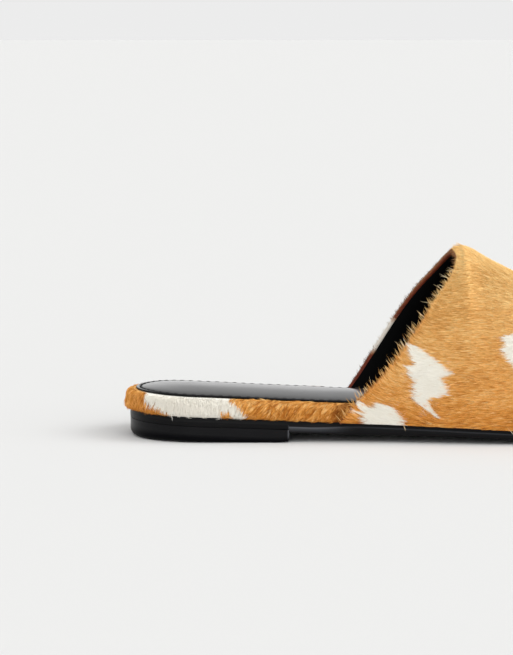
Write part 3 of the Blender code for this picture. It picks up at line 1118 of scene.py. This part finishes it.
def lining_skin(name):
    """Black pigskin with a dry, suede-like finish and small pores."""
    material, tree, shader = new_finish(name)
    where = add(tree, "TexCoord").outputs["Object"]
    pores = add(tree, "TexNoise", [("Vector", where), ("Scale", per(0.8)), ("Detail", 4.0)])
    shades = add(
        tree, "Mix", [("Factor", pores.outputs[0]), ("A", tone("#020202")), ("B", tone("#060607"))],
        data_type="RGBA",
    )
    relief = add(tree, "Bump", [("Height", pores.outputs[0]), ("Strength", 0.4), ("Distance", 0.1 * MM)])
    plugged(tree, shader, [
        ("Base Color", shades.outputs["Result"]),
        ("Normal", relief.outputs[0]),
        ("Roughness", 0.85),
        ("Specular IOR Level", 0.06),
    ])
    return material


inner_vamp = (vamp_grid - vamp_normals * LINING_INSIDE)[::2]
inner_toe = (toe_grid - toe_normals * LINING_INSIDE)[::2, ::2]
lining_edge = inner_vamp[:, :1] - edge_out[::2] * LINING_SHORT
lining_grids = [np.concatenate((lining_edge, inner_vamp[:, 4::2]), axis=1), inner_toe]
vamp_lining = shelled(lining_grids, "vamp_lining", lining_skin("black_pigskin_lining"), LINING)
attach(vamp_lining, "root")

# ------------------------------------------------------------------------------------------
# The coat: short stiff calf hair, lying flat in fine locks that point back towards the heel
# on the vamp and down on the footbed's edge. Each hair is a thin three-sided spike, coloured
# as the coat is between it and the middle of its lock, so the patches end in ragged points.
# ------------------------------------------------------------------------------------------
HAIR_SEED = 38
VAMP_PIECES = 4
VAMP_HAIRS = 39500
VAMP_LOCK_AREA = 0.26
VAMP_HAIR_LENGTH = 4.8
VAMP_HAIR_WIDTH = 0.18
EDGE_COVER = 0.35
EDGE_TRIM = 0.6
TUFT = 0.9
TUFTS = 128
SOLE_CLEARANCE = 0.6
draw = np.random.default_rng(HAIR_SEED)


def unit(vectors):
    return vectors / np.clip(np.linalg.norm(vectors, axis=-1), 1e-9, None)[..., None]


def flattened(vectors, normals):
    """The vectors laid into the surface, as unit vectors."""
    return unit(vectors - (vectors * normals).sum(-1)[:, None] * normals)


def turned(vectors, normals, angles):
    """The vectors turned about the normals by angles in degrees."""
    angles = np.radians(angles)[:, None]
    return vectors * np.cos(angles) + np.cross(normals, vectors) * np.sin(angles)


def roots_on(points, normals, faces, wanted):
    """Places drawn evenly over a sheet, with the sheet's normal at each."""
    a, b, c = points[faces[:, 0]], points[faces[:, 1]], points[faces[:, 2]]
    area = np.linalg.norm(np.cross(b - a, c - a), axis=1) / 2.0
    chosen = draw.choice(len(faces), wanted, p=area / area.sum())
    u, v = draw.random((2, wanted))
    over = u + v > 1.0
    u, v = np.where(over, 1.0 - u, u), np.where(over, 1.0 - v, v)
    weights = np.stack((1.0 - u - v, u, v), axis=-1)[..., None]
    corners = faces[chosen]
    return (points[corners] * weights).sum(1), unit((normals[corners] * weights).sum(1)), area.sum()


def calf_hair(name):
    """Calf hair: solid, silky and only a little glossy, each hair its own tone, with painted shade towards
    its root where it goes into the coat, palest along its upper half, and painted shade brown where it lies
    in shade."""
    material, tree, shader = new_finish(name)
    shade = add(tree, "Attribute", attribute_name="shade").outputs["Fac"]
    patch = add(tree, "Attribute", attribute_name="ivory").outputs["Fac"]
    along = add(tree, "Attribute", attribute_name="along").outputs["Fac"]
    colour = mixed_coat(tree, shade, patch)
    # Painted shade: each hair darkens towards its root, less on the ivory
    root_shade = add(tree, "MapRange", [("Value", along), ("From Max", 0.6), ("To Min", 0.55), ("To Max", 1.0)])
    inside = add(tree, "Attribute", attribute_name="inside").outputs["Fac"]
    depth = add(tree, "MapRange", [("Value", patch), ("To Min", 1.0), ("To Max", 0.15)])
    darker = add(
        tree, "Mix", [("Factor", depth.outputs[0]), ("A", colour), ("B", root_shade.outputs[0])],
        data_type="RGBA", blend_type="MULTIPLY",
    )
    # Painted shade: the shade brown, as much as the inside mark says
    coat_in_shade = add(
        tree, "Mix", [("Factor", inside), ("A", darker.outputs["Result"]), ("B", tone(SHADE_BROWN))],
        data_type="RGBA", blend_type="MULTIPLY",
    )
    plugged(tree, shader, [
        ("Base Color", coat_in_shade.outputs["Result"]),
        ("Roughness", 0.55),
        ("IOR", 1.55),
        ("Specular IOR Level", 0.12),
    ])
    return material


def spikes(name, paths, normals, widths, shade, patch, inside, finish):
    """Hairs as closed three-sided spikes. paths: hair, point along it, xyz; the last is the tip."""
    count, steps = paths.shape[:2]
    verts, along = [], []
    for k in range(steps - 1):
        way = unit(paths[:, k + 1] - paths[:, k])
        across = unit(np.cross(normals, way))
        up = np.cross(way, across)
        half = widths[:, None] / 2.0 * (1.0 - 0.55 * k / (steps - 1))
        at = paths[:, k]
        verts += [at + across * half, at - across * half, at + up * half * 0.9]
        along += [k / (steps - 1)] * 3
    verts.append(paths[:, -1])
    along.append(1.0)
    each = len(verts)
    verts = np.stack(verts, axis=1).reshape(-1, 3)
    right, left, top = 0, 1, 2
    faces = [(right, left, top)]
    for k in range(steps - 2):
        a, b = 3 * k, 3 * k + 3
        for one, other in ((right, top), (top, left), (left, right)):
            faces += [(a + one, a + other, b + other), (a + one, b + other, b + one)]
    a, tip = 3 * (steps - 2), each - 1
    faces += [(a + right, a + top, tip), (a + top, a + left, tip), (a + left, a + right, tip)]
    faces = (np.array(faces)[None] + (np.arange(count) * each)[:, None, None]).reshape(-1, 3)
    data = bpy.data.meshes.new(name)
    data.from_pydata(in_frame(verts), [], faces)
    data.shade_flat()
    mark(data, "shade", np.repeat(shade, each))
    mark(data, "ivory", np.repeat(patch, each))
    mark(data, "inside", np.repeat(inside, each))
    mark(data, "along", np.tile(along, count))
    data.materials.append(finish)
    piece = bpy.data.objects.new(name, data)
    bpy.context.scene.collection.objects.link(piece)
    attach(piece, "root")
    return piece


def laid_on(tree, spots, heights, reach):
    """Spots moved to a height above the sheet, but for those that hang past its edge, and the
    sheet's normal at each."""
    near = [tree.find_nearest(spot) for spot in spots]
    places = np.array([found[0] for found in near])
    normals = np.array([found[1] for found in near])
    off = spots - places
    flat = off - (off * normals).sum(-1)[:, None] * normals
    over = (np.linalg.norm(flat, axis=1) > 0.1) | (np.linalg.norm(off, axis=1) > reach)
    return np.where(over[:, None], spots, places + normals * heights[:, None]), normals


def sheet_of(grids):
    """Grids of points as one sheet, only to draw roots on: points, normals and triangles."""
    mesh = joined(grids)
    bmesh.ops.recalc_face_normals(mesh, faces=mesh.faces)
    data = bpy.data.meshes.new("sheet")
    mesh.to_mesh(data)
    mesh.free()
    found = from_mesh(data)
    bpy.data.meshes.remove(data)
    return found


def vamp_flow(points, normals):
    """Which way the hair lies on the vamp: back to the heel, lifting towards the topline where
    the panel comes down to the sole, and more so right at the edge."""
    x, y, z = points.T
    joint = hump(x, 92.0, 12.0) * hump(z, 12.0, 10.0)
    joint *= ease((z - 8.0) / 4.0)
    near = ease((132.0 - x) / 22.0) * ease((54.0 - z) / 20.0) * ease((z - 5.0) / 6.0)
    edge = np.exp(-np.clip(inside_edge(points), 0.0, None) / 2.6) * ease((z - 12.0) / 14.0)
    edge *= 1.0 - ease((z - 50.0) / 12.0)
    tail = np.exp(-((x - 122.5) / 4.2) ** 2 - ((z - 13.0) / 4.4) ** 2)
    top = ease((z - 46.0) / 14.0) * ease((x - 138.0) / 12.0)
    lift = 0.32 * near + 0.3 * joint + 0.9 * tail + 1.5 * edge - 0.12 * top - 0.02
    way = np.column_stack((np.full(len(x), -1.0), np.zeros(len(x)), lift))
    wander = 1.5 * np.sin(x / 9.0 + z / 13.0) + 2.0 * np.sin(z / 6.5 - x / 21.0)
    return turned(flattened(way, normals), normals, wander)


def broad_tone(points):
    """Soft bands and clouds of darker and paler coat, with painted shade low down towards the sole, a
    lighter band at mid height and painted light over the upper part towards the toe.
    """
    x, _, z = points.T
    bands = 0.06 * np.sin(z / 2.1 + 1.3 * np.sin(x / 13.0)) + 0.06 * np.sin(x / 8.7 - z / 5.3)
    # Painted shade low down towards the sole; below, painted light over the upper part towards the toe
    low = 0.07 * hump(z, 28.0, 9.0) - 0.18 * np.exp(-(z - 6.0) / 8.0)
    paler = 0.16 * ease((x - 140.0) / 35.0) * ease((z - 36.0) / 15.0)
    darker = 0.04 * np.exp(-((x - 133.0) / 11.0) ** 2 - ((z - 55.0) / 8.0) ** 2)
    low += paler - darker
    return bands + low + 0.35 * np.exp(-((x - 169.0) / 5.0) ** 2 - ((z - 52.0) / 2.5) ** 2)


def locks_on(sheet, area_each, flow, swing):
    """Lock centres on a sheet: place, direction, length factor, tone, and a finder."""
    total = roots_on(*sheet, 1)[2]
    count = int(total / area_each)
    centres, up, _ = roots_on(*sheet, count)
    way = turned(flow(centres, up), up, draw.normal(0.0, swing, count))
    length = draw.uniform(0.7, 1.15, count)
    shade = draw.normal(0.0, 0.23, count) + broad_tone(centres)
    finder = KDTree(count)
    for number, centre in enumerate(centres):
        finder.insert(centre, number)
    finder.balance()
    return centres, way, length, shade, finder


def grown(sheet, wanted, locks, length, patch_of, tug):
    """Hairs drawn over a sheet, each led by its nearest lock. Gives roots, normals, directions,
    lengths, tone and ivory."""
    centres, ways, lengths, shades, finder = locks
    roots, up, _ = roots_on(*sheet, wanted)
    mine = np.array([finder.find(root)[1] for root in roots])
    way = turned(flattened(ways[mine], up), up, draw.normal(0.0, 3.0, wanted))
    reach = length * lengths[mine] * draw.uniform(0.7, 1.05, wanted)
    aside = roots - centres[mine]
    aside = aside - (aside * up).sum(-1)[:, None] * up
    aside = aside - (aside * way).sum(-1)[:, None] * way
    way = unit(way * reach[:, None] - aside * tug)
    shade = np.clip(0.52 + shades[mine] + draw.normal(0.0, 0.13, wanted), 0.0, 1.0)
    lock_middle = centres[mine] + ways[mine] * (length * lengths[mine] * 0.5)[:, None]
    between = lock_middle * 0.45 + (roots + way * reach[:, None] * 0.5) * 0.55
    return roots, up, way, reach, shade, patch_of(between)


hair = calf_hair("calf_hair")
vamp_sheet = sheet_of((vamp_grid, toe_grid))
vamp_tree = BVHTree.FromPolygons(vamp_sheet[0].tolist(), vamp_sheet[2].tolist())
vamp_locks = locks_on(vamp_sheet, VAMP_LOCK_AREA, vamp_flow, 2.5)

# Tufts along the topline, by height: how far each hangs past the edge, longest at two heights,
# and how steeply it rises
tuft_past = draw.exponential(EDGE_TRIM, TUFTS)
tuft_rise = draw.uniform(0.7, 2.5, TUFTS)
tuft_height = (np.arange(TUFTS) + 0.5) * TUFT
lower_crest = hump(tuft_height, 33.0, 8.0)
upper_crest = 0.8 * hump(tuft_height, 62.0, 8.0)
tuft_past *= 0.4 + lower_crest + upper_crest
for number in range(VAMP_PIECES):
    roots, up, way, reach, shade, patch = grown(
        vamp_sheet, VAMP_HAIRS, vamp_locks, VAMP_HAIR_LENGTH, ivory, 0.4
    )
    tips = roots + way * reach[:, None]
    start, end = inside_edge(roots), inside_edge(tips)
    crossing = np.clip(start / np.clip(start - end, 0.1, None), 0.0, 1.0)[:, None]
    at_edge = roots + (tips - roots) * crossing
    tuft = np.clip(at_edge[:, 2] / TUFT, 0.0, TUFTS - 1.0).astype(int)
    past = EDGE_COVER + tuft_past[tuft] + draw.exponential(EDGE_TRIM * 0.6, len(roots))
    medial = roots[:, 1] > ridge_side(roots[:, 0])
    spill = hump(at_edge[:, 2], 12.0, 2.5) * draw.uniform(0.0, 1.6, len(roots))
    past = np.minimum(past * np.where(medial, 0.3, 1.0) + spill, -end)
    rise = tuft_rise[tuft] * ease((at_edge[:, 2] - 10.0) / 8.0) + draw.normal(0.0, 0.2, len(roots))
    rise += 0.5 * ((tuft + 0.5) * TUFT - at_edge[:, 2]) / TUFT
    rise += 0.7 * ease((at_edge[:, 2] - 50.0) / 12.0) * ease((73.0 - at_edge[:, 2]) / 4.0)
    beyond = unit(np.column_stack((-np.ones(len(roots)), np.zeros(len(roots)), rise)))
    over_edge = (end < 0.0) & (start > -0.2)
    tips, _ = laid_on(vamp_tree, tips, draw.uniform(0.15, 0.85, len(tips)), 2.0)
    lifted_off = at_edge + beyond * past[:, None] + up * draw.uniform(0.1, 0.5, (len(roots), 1))
    tips = np.where(over_edge[:, None], lifted_off, tips)
    ripple = 0.25 * np.sin(tips[:, 0] * 2.3) * np.sin(tips[:, 0] * 0.9 + 1.0)
    ragged = ripple - draw.exponential(0.15, len(tips))
    lowest = sole_top(tips[:, 0]) + SOLE_CLEARANCE + ragged
    tips[:, 2] = np.maximum(tips[:, 2], lowest)
    paths = np.stack((roots - up * 0.1, tips), axis=1)
    widths = VAMP_HAIR_WIDTH * draw.uniform(0.75, 1.2, len(roots))
    # Painted shade: on the lateral side the hair darkens towards the topline below the top; on the medial
    # side it takes the shade brown near the topline
    near_edge = np.exp(-np.clip(inside_edge(roots), 0.0, None) / 2.2)
    lower = 1.0 - ease((roots[:, 2] - 46.0) / 12.0)
    shade = np.clip(shade - 0.35 * near_edge * lower * ~medial * (1.0 - patch), 0.0, 1.0)
    shaded = 0.85 * medial * near_edge * (1.0 - 0.8 * patch)
    spikes(f"vamp_hair_{number + 1}", paths, up, widths, shade, patch, shaded, hair)

# ------------------------------------------------------------------------------------------
# The fringe of the topline: hair that the folded edge turns outwards. Most of it is a short
# nap, with longer single hairs that stand up across the dark opening.
# ------------------------------------------------------------------------------------------
NAP_HAIRS = 1800
FLAP_HAIRS = 4000
LONG_HAIRS = 460
STRAY_HAIRS = 70
CLUMP = 0.7


def on_grid(grid, rows, columns):
    """Places on a grid between its points, by row and column."""
    r, c = np.floor(rows).astype(int), np.floor(columns).astype(int)
    r, c = np.clip(r, 0, grid.shape[0] - 2), np.clip(c, 0, grid.shape[1] - 2)
    u, v = (rows - r)[:, None], (columns - c)[:, None]
    near = grid[r, c] * (1.0 - v) + grid[r, c + 1] * v
    far = grid[r + 1, c] * (1.0 - v) + grid[r + 1, c + 1] * v
    return near * (1.0 - u) + far * u


edge_reach = np.concatenate(([0.0], np.cumsum(np.linalg.norm(np.diff(vamp_grid[:, 0], axis=0), axis=1))))
edge_up = unit(np.gradient(vamp_grid[:, 0], axis=0)) * np.where(around_rows < 0.0, 1.0, -1.0)[:, None]
fold_grid = folded_grid[:, :flap.shape[1] + fold.shape[1] + 1]
fold_normals = facing(fold_grid)
if (fold_normals[:, -1] * vamp_normals[:, 0]).sum() < 0.0:
    fold_normals = -fold_normals


def rows_along(count):
    """Rows of the folded edge, drawn evenly by length along the topline."""
    return np.interp(draw.uniform(0.0, edge_reach[-1], count), edge_reach, np.arange(len(edge_reach)))


def edge_hairs(name, count, columns, length, lean, lift, width, shade, bend, opening_shade=0.0, bleached=0.0):
    """Hair on the folded edge. columns: between which columns of the fold it grows; lean: how far
    it leans up along the edge; lift: how far it stands off; shade: mean and spread of its tone;
    bend: how much its upper half turns further; opening_shade: how much painted shade it takes,
    as it lies in the shade of the opening; bleached: how far its colour goes to ivory."""
    rows = rows_along(count)
    columns = draw.uniform(*columns, count)
    roots = on_grid(fold_grid, rows, columns)
    up = unit(on_grid(fold_normals, rows, columns))
    out = unit(on_grid(np.repeat(edge_out, 2, axis=1), rows, np.zeros(count)))
    climb = unit(on_grid(np.repeat(edge_up[:, None], 2, axis=1), rows, np.zeros(count)))
    clump = (np.interp(rows, np.arange(len(edge_reach)), edge_reach) / CLUMP).astype(int)
    shared = draw.uniform(0.0, 1.0, (3, clump.max() + 1))[:, clump]
    leaning = lean[0] + (lean[1] - lean[0]) * (0.4 * shared[0] + 0.6 * draw.random(count))
    way = out + climb * leaning[:, None] + up * draw.uniform(*lift, count)[:, None]
    way = unit(way)
    medial = roots[:, 1] > ridge_side(roots[:, 0])
    at_top = ease((roots[:, 2] - 67.0) / 5.0)
    shorter = np.where(medial, 0.45, 1.0) * (1.0 - 0.5 * at_top)
    reach = (draw.uniform(*length, count) * (0.65 + 0.55 * shared[1]) * shorter)[:, None]
    patch = ivory(roots + draw.normal(0.0, 0.8, roots.shape)) * (roots[:, 2] > 21.0)
    # Painted shade: the medial rim, the hair in the opening and the hair at the apex take the shade brown
    outer = ease((columns - flap.shape[1]) / fold.shape[1]) * ease((roots[:, 2] - 30.0) / 25.0)
    inside = np.where(medial, 1.0 - 0.22 * outer, np.maximum(opening_shade, 0.8 * at_top))
    inside *= 1.0 - 0.85 * patch
    bleached = bleached * (roots[:, 2] > 19.0) * draw.uniform(0.4, 1.0, count)
    patch = np.where(medial, patch, np.maximum(patch, bleached))
    middle = roots + way * reach * 0.5
    tips = middle + unit(way + climb * (bend * draw.normal(0.6, 0.6, count))[:, None]) * reach * 0.5
    paths = np.stack((roots - up * 0.1, middle, tips), axis=1)
    widths = width * draw.uniform(0.8, 1.2, count)
    tones = np.clip(draw.normal(*shade, count) + 0.2 * (shared[2] - 0.5), 0.0, 1.0)
    spikes(name, paths, up, widths, tones, patch, inside, hair)


last_column = fold_grid.shape[1] - 1.0
# The nap and the flap hair lie in the shade of the opening: deep tones and painted shade brown
edge_hairs(
    "topline_nap", NAP_HAIRS, columns=(last_column - 6.0, last_column - 2.0), length=(0.4, 1.3),
    lean=(0.5, 1.2), lift=(-0.1, 0.3), width=0.14, shade=(0.25, 0.18), bend=0.1, opening_shade=0.45,
)
edge_hairs(
    "topline_flap_hair", FLAP_HAIRS, columns=(0.0, last_column - 5.5), length=(0.4, 0.9),
    lean=(-0.4, 0.8), lift=(-0.1, 0.6), width=0.15, shade=(0.08, 0.08), bend=0.1, opening_shade=1.0,
)
edge_hairs(
    "topline_long_hair", LONG_HAIRS, columns=(last_column - 4.0, last_column), length=(1.8, 4.2),
    lean=(0.6, 1.35), lift=(-0.2, 0.4), width=0.18, shade=(0.6, 0.2), bend=0.15, bleached=0.05,
)
edge_hairs(
    "topline_stray_hair", STRAY_HAIRS, columns=(last_column - 4.0, last_column), length=(3.2, 5.2),
    lean=(0.3, 1.3), lift=(-0.2, 0.3), width=0.18, shade=(0.9, 0.1), bend=0.1, bleached=0.4,
)

# ------------------------------------------------------------------------------------------
# The hair of the footbed's edge: it rolls over the soft rim beside the sock and hangs down to
# the outsole, straight at the heel and slanting back along the waist, a little shaggy.
# ------------------------------------------------------------------------------------------
RAND_HAIRS = 17500
RAND_LOCK_AREA = 0.5
RAND_HAIR_LENGTH = 4.6
RAND_HAIR_WIDTH = 0.22
RAND_CLEARANCE = 0.6
RAND_TUFT = 0.7


def outwards(points):
    """Level direction out of the footbed's side."""
    x, y = points[:, 0] - HEEL_RADIUS, points[:, 1] - plan_centre(points[:, 0])
    across = np.where(x < 0.0, y, np.sign(y))
    return unit(np.column_stack((np.minimum(x, 0.0) + 1e-6, across, np.zeros(len(x)))))


def rand_flow(points, normals):
    """Over the rim and down, slanting back towards the heel along the waist."""
    x, y, _ = points.T
    slant = -0.75 * ease((x - 36.0) / 16.0)
    way = outwards(points) * 0.25 + np.column_stack((slant, np.zeros(len(x)), np.full(len(x), -1.0)))
    wander = 7.0 * np.sin(x / 3.1) + 30.0 * ease((x - 78.0) / 8.0) * np.sin(x / 1.4 + y)
    return turned(flattened(way, normals), normals, wander)


def in_order(triangles):
    """Triangles in one fixed order. Blender's extrusion makes them in another one each run, and
    the hair is drawn over them."""
    first = triangles.argmin(axis=1)[:, None]
    triangles = np.take_along_axis(triangles, (first + np.arange(3)) % 3, axis=1)
    return triangles[np.lexsort(triangles.T[::-1])]


cover_faces = in_order(cover_faces)
middle_of = cover_points[cover_faces].mean(1)
on_rand = rim_distance(middle_of) < SOCK_STEP - 0.1
on_rand &= middle_of[:, 2] > footbed_bottom(middle_of[:, 0]) + 0.7
on_rand &= middle_of[:, 0] < np.where(middle_of[:, 1] < 0.0, 91.0, 93.0)
rand_sheet = (cover_points, cover_normals, cover_faces[on_rand])
rand_tree = BVHTree.FromPolygons(cover_points.tolist(), cover_faces.tolist())
rand_locks = locks_on(rand_sheet, RAND_LOCK_AREA, rand_flow, 8.0)
roots, up, way, reach, shade, patch = grown(
    rand_sheet, RAND_HAIRS, rand_locks, RAND_HAIR_LENGTH, lambda p: ivory(p, on_rand=True), 0.5
)
tufts = np.sin(roots[:, 0] * 1.9) + np.sin(roots[:, 0] * 0.83 + 1.0) + np.sin(roots[:, 0] * 3.7)
low = sole_top(roots[:, 0]) + RAND_CLEARANCE - RAND_TUFT * np.clip(tufts / 2.0 - 0.3, 0.0, 1.0)
low -= draw.exponential(0.2, len(roots))
half = reach[:, None] / 2.0
middle, lean = laid_on(rand_tree, roots + way * half, draw.uniform(0.3, 0.7, len(roots)), 3.0)
follow = rand_flow(middle, lean)
follow = flattened(follow * 0.5 + flattened(way, lean) * 0.5, lean)
tips, _ = laid_on(rand_tree, middle + follow * half, draw.uniform(0.3, 1.1, len(roots)), 3.0)
hanging = ease((26.0 - tips[:, 0]) / 18.0) * ease((footbed_bottom(tips[:, 0]) + 3.6 - tips[:, 2]) / 2.4)
tips += outwards(tips) * (0.9 * hanging)[:, None]
for part in (middle, tips):
    part[:, 2] = np.maximum(part[:, 2], low + 0.3 * (part is middle))
paths = np.stack((roots - up * 0.1, middle, tips), axis=1)
widths = RAND_HAIR_WIDTH * draw.uniform(0.75, 1.2, len(roots))
shade = shade - np.where(patch > 0.5, 0.3, 0.04 + 0.16 * ease((18.0 - roots[:, 0]) / 8.0))
# Painted shade: the rand's hair darkens where it runs in under the vamp, and all of it takes a little of the
# shade brown
joint_shade = np.maximum(0.05, 0.5 * ease((roots[:, 0] - 82.0) / 4.0) * (1.0 - patch))
shade = np.clip(shade - 0.7 * joint_shade, 0.0, 1.0)
spikes("rand_hair", paths, up, widths, shade, patch, joint_shade, hair)

# Three hairs that have come loose and hang over the edge of the outsole
Loose = namedtuple("Loose", "x z across down")
LOOSE = (Loose(152.3, 6.9, 2.4, 2.9), Loose(111.0, 7.4, 0.5, 2.2), Loose(17.6, 11.6, 0.5, 2.6))
start = np.array([(h.x, float(plan_centre(h.x) - plan_half(h.x)) - 1.3, h.z) for h in LOOSE])
end = start + [(h.across, -0.3, -h.down) for h in LOOSE]
paths = np.stack((start, (start + end) / 2.0 + (0.2, -0.2, 0.0), end), axis=1)
three = np.ones(len(LOOSE))
out = np.repeat([[0.0, -1.0, 0.0]], len(LOOSE), axis=0)
spikes("loose_hair", paths, out, 0.2 * three, three, np.array((0.5, 0.3, 1.0)), 0.0 * three, hair)

# ------------------------------------------------------------------------------------------
# The studio: a pale seamless floor, a white surround and four very broad lamps.
# ------------------------------------------------------------------------------------------
CAMERA_PLACE = (5.572, -1168.826, 167.805)
CAMERA_YAW = 2.33
CAMERA_PITCH = 6.05
CAMERA_LENS = 157.19
FLOOR_SIZE = 60.0
FRONT_LIGHT = 1.06


def studio_paper(name):
    """Matt seamless paper, almost white."""
    material, tree, shader = new_finish(name)
    where = add(tree, "TexCoord").outputs["Object"]
    fibre = add(tree, "TexNoise", [("Vector", where), ("Scale", per(1.2)), ("Detail", 2.0)])
    shades = add(
        tree, "Mix", [("Factor", fibre.outputs[0]), ("A", tone("#d5d5d4")), ("B", tone("#d7d7d6"))],
        data_type="RGBA",
    )
    plugged(tree, shader, [
        ("Base Color", shades.outputs["Result"]),
        ("Roughness", 0.9),
        ("Specular IOR Level", 0.0),
    ])
    return material


floor_mesh = bmesh.new()
bmesh.ops.create_grid(floor_mesh, x_segments=2, y_segments=2, size=FLOOR_SIZE / 2.0)
floor = as_piece("floor", floor_mesh, studio_paper("seamless_paper"))

world = bpy.data.worlds.new("white_surround")
world.use_nodes = True
bpy.context.scene.world = world
sky = world.node_tree
direction = add(sky, "TexCoord").outputs["Generated"]
parts = add(sky, "SeparateXYZ", [("Vector", direction)])
behind = add(sky, "MapRange", [
    ("Value", parts.outputs["Z"]),
    ("From Min", 0.12),
    ("From Max", 0.35),
    ("To Min", 0.84),
    ("To Max", 0.38),
])
side = add(sky, "MapRange", [("Value", parts.outputs["Y"]), ("From Min", -0.15), ("From Max", 0.15)])
fade = add(
    sky, "Mix", [("Factor", side.outputs[0]), ("A", FRONT_LIGHT), ("B", behind.outputs[0])],
    data_type="FLOAT",
)
plugged(sky, sky.nodes["Background"], [("Strength", fade.outputs[0]), ("Color", (1.0, 1.0, 1.0, 1.0))])


def broad_lamp(name, strength, spread, height, bearing):
    """A very broad, even source: its height above the floor and its bearing, 0 in front of the
    shoe's lateral side and positive towards the toe."""
    lamp = bpy.data.lights.new(name, "SUN")
    lamp.energy = strength
    lamp.angle = math.radians(spread)
    holder = bpy.data.objects.new(name, lamp)
    holder.rotation_euler = (math.radians(90.0 - height), 0.0, math.radians(bearing))
    bpy.context.scene.collection.objects.link(holder)


broad_lamp("key", 1.28, 40.0, 35.0, 80.0)
broad_lamp("heel_side", 0.36, 60.0, 30.0, 275.0)
broad_lamp("back", 0.25, 50.0, 65.0, 180.0)
broad_lamp("front", 1.5, 85.0, 22.0, 5.0)

camera_data = bpy.data.cameras.new("camera")
camera_data.lens = CAMERA_LENS
camera_data.sensor_width = 36.0
camera_data.clip_start = 0.05
camera_data.clip_end = 200.0
camera = bpy.data.objects.new("camera", camera_data)
camera.location = in_frame(CAMERA_PLACE)
camera.rotation_euler = (math.radians(90.0 - CAMERA_PITCH), 0.0, math.radians(-CAMERA_YAW))
bpy.context.scene.collection.objects.link(camera)
bpy.context.scene.camera = camera
bpy.context.scene.view_settings.view_transform = "Standard"
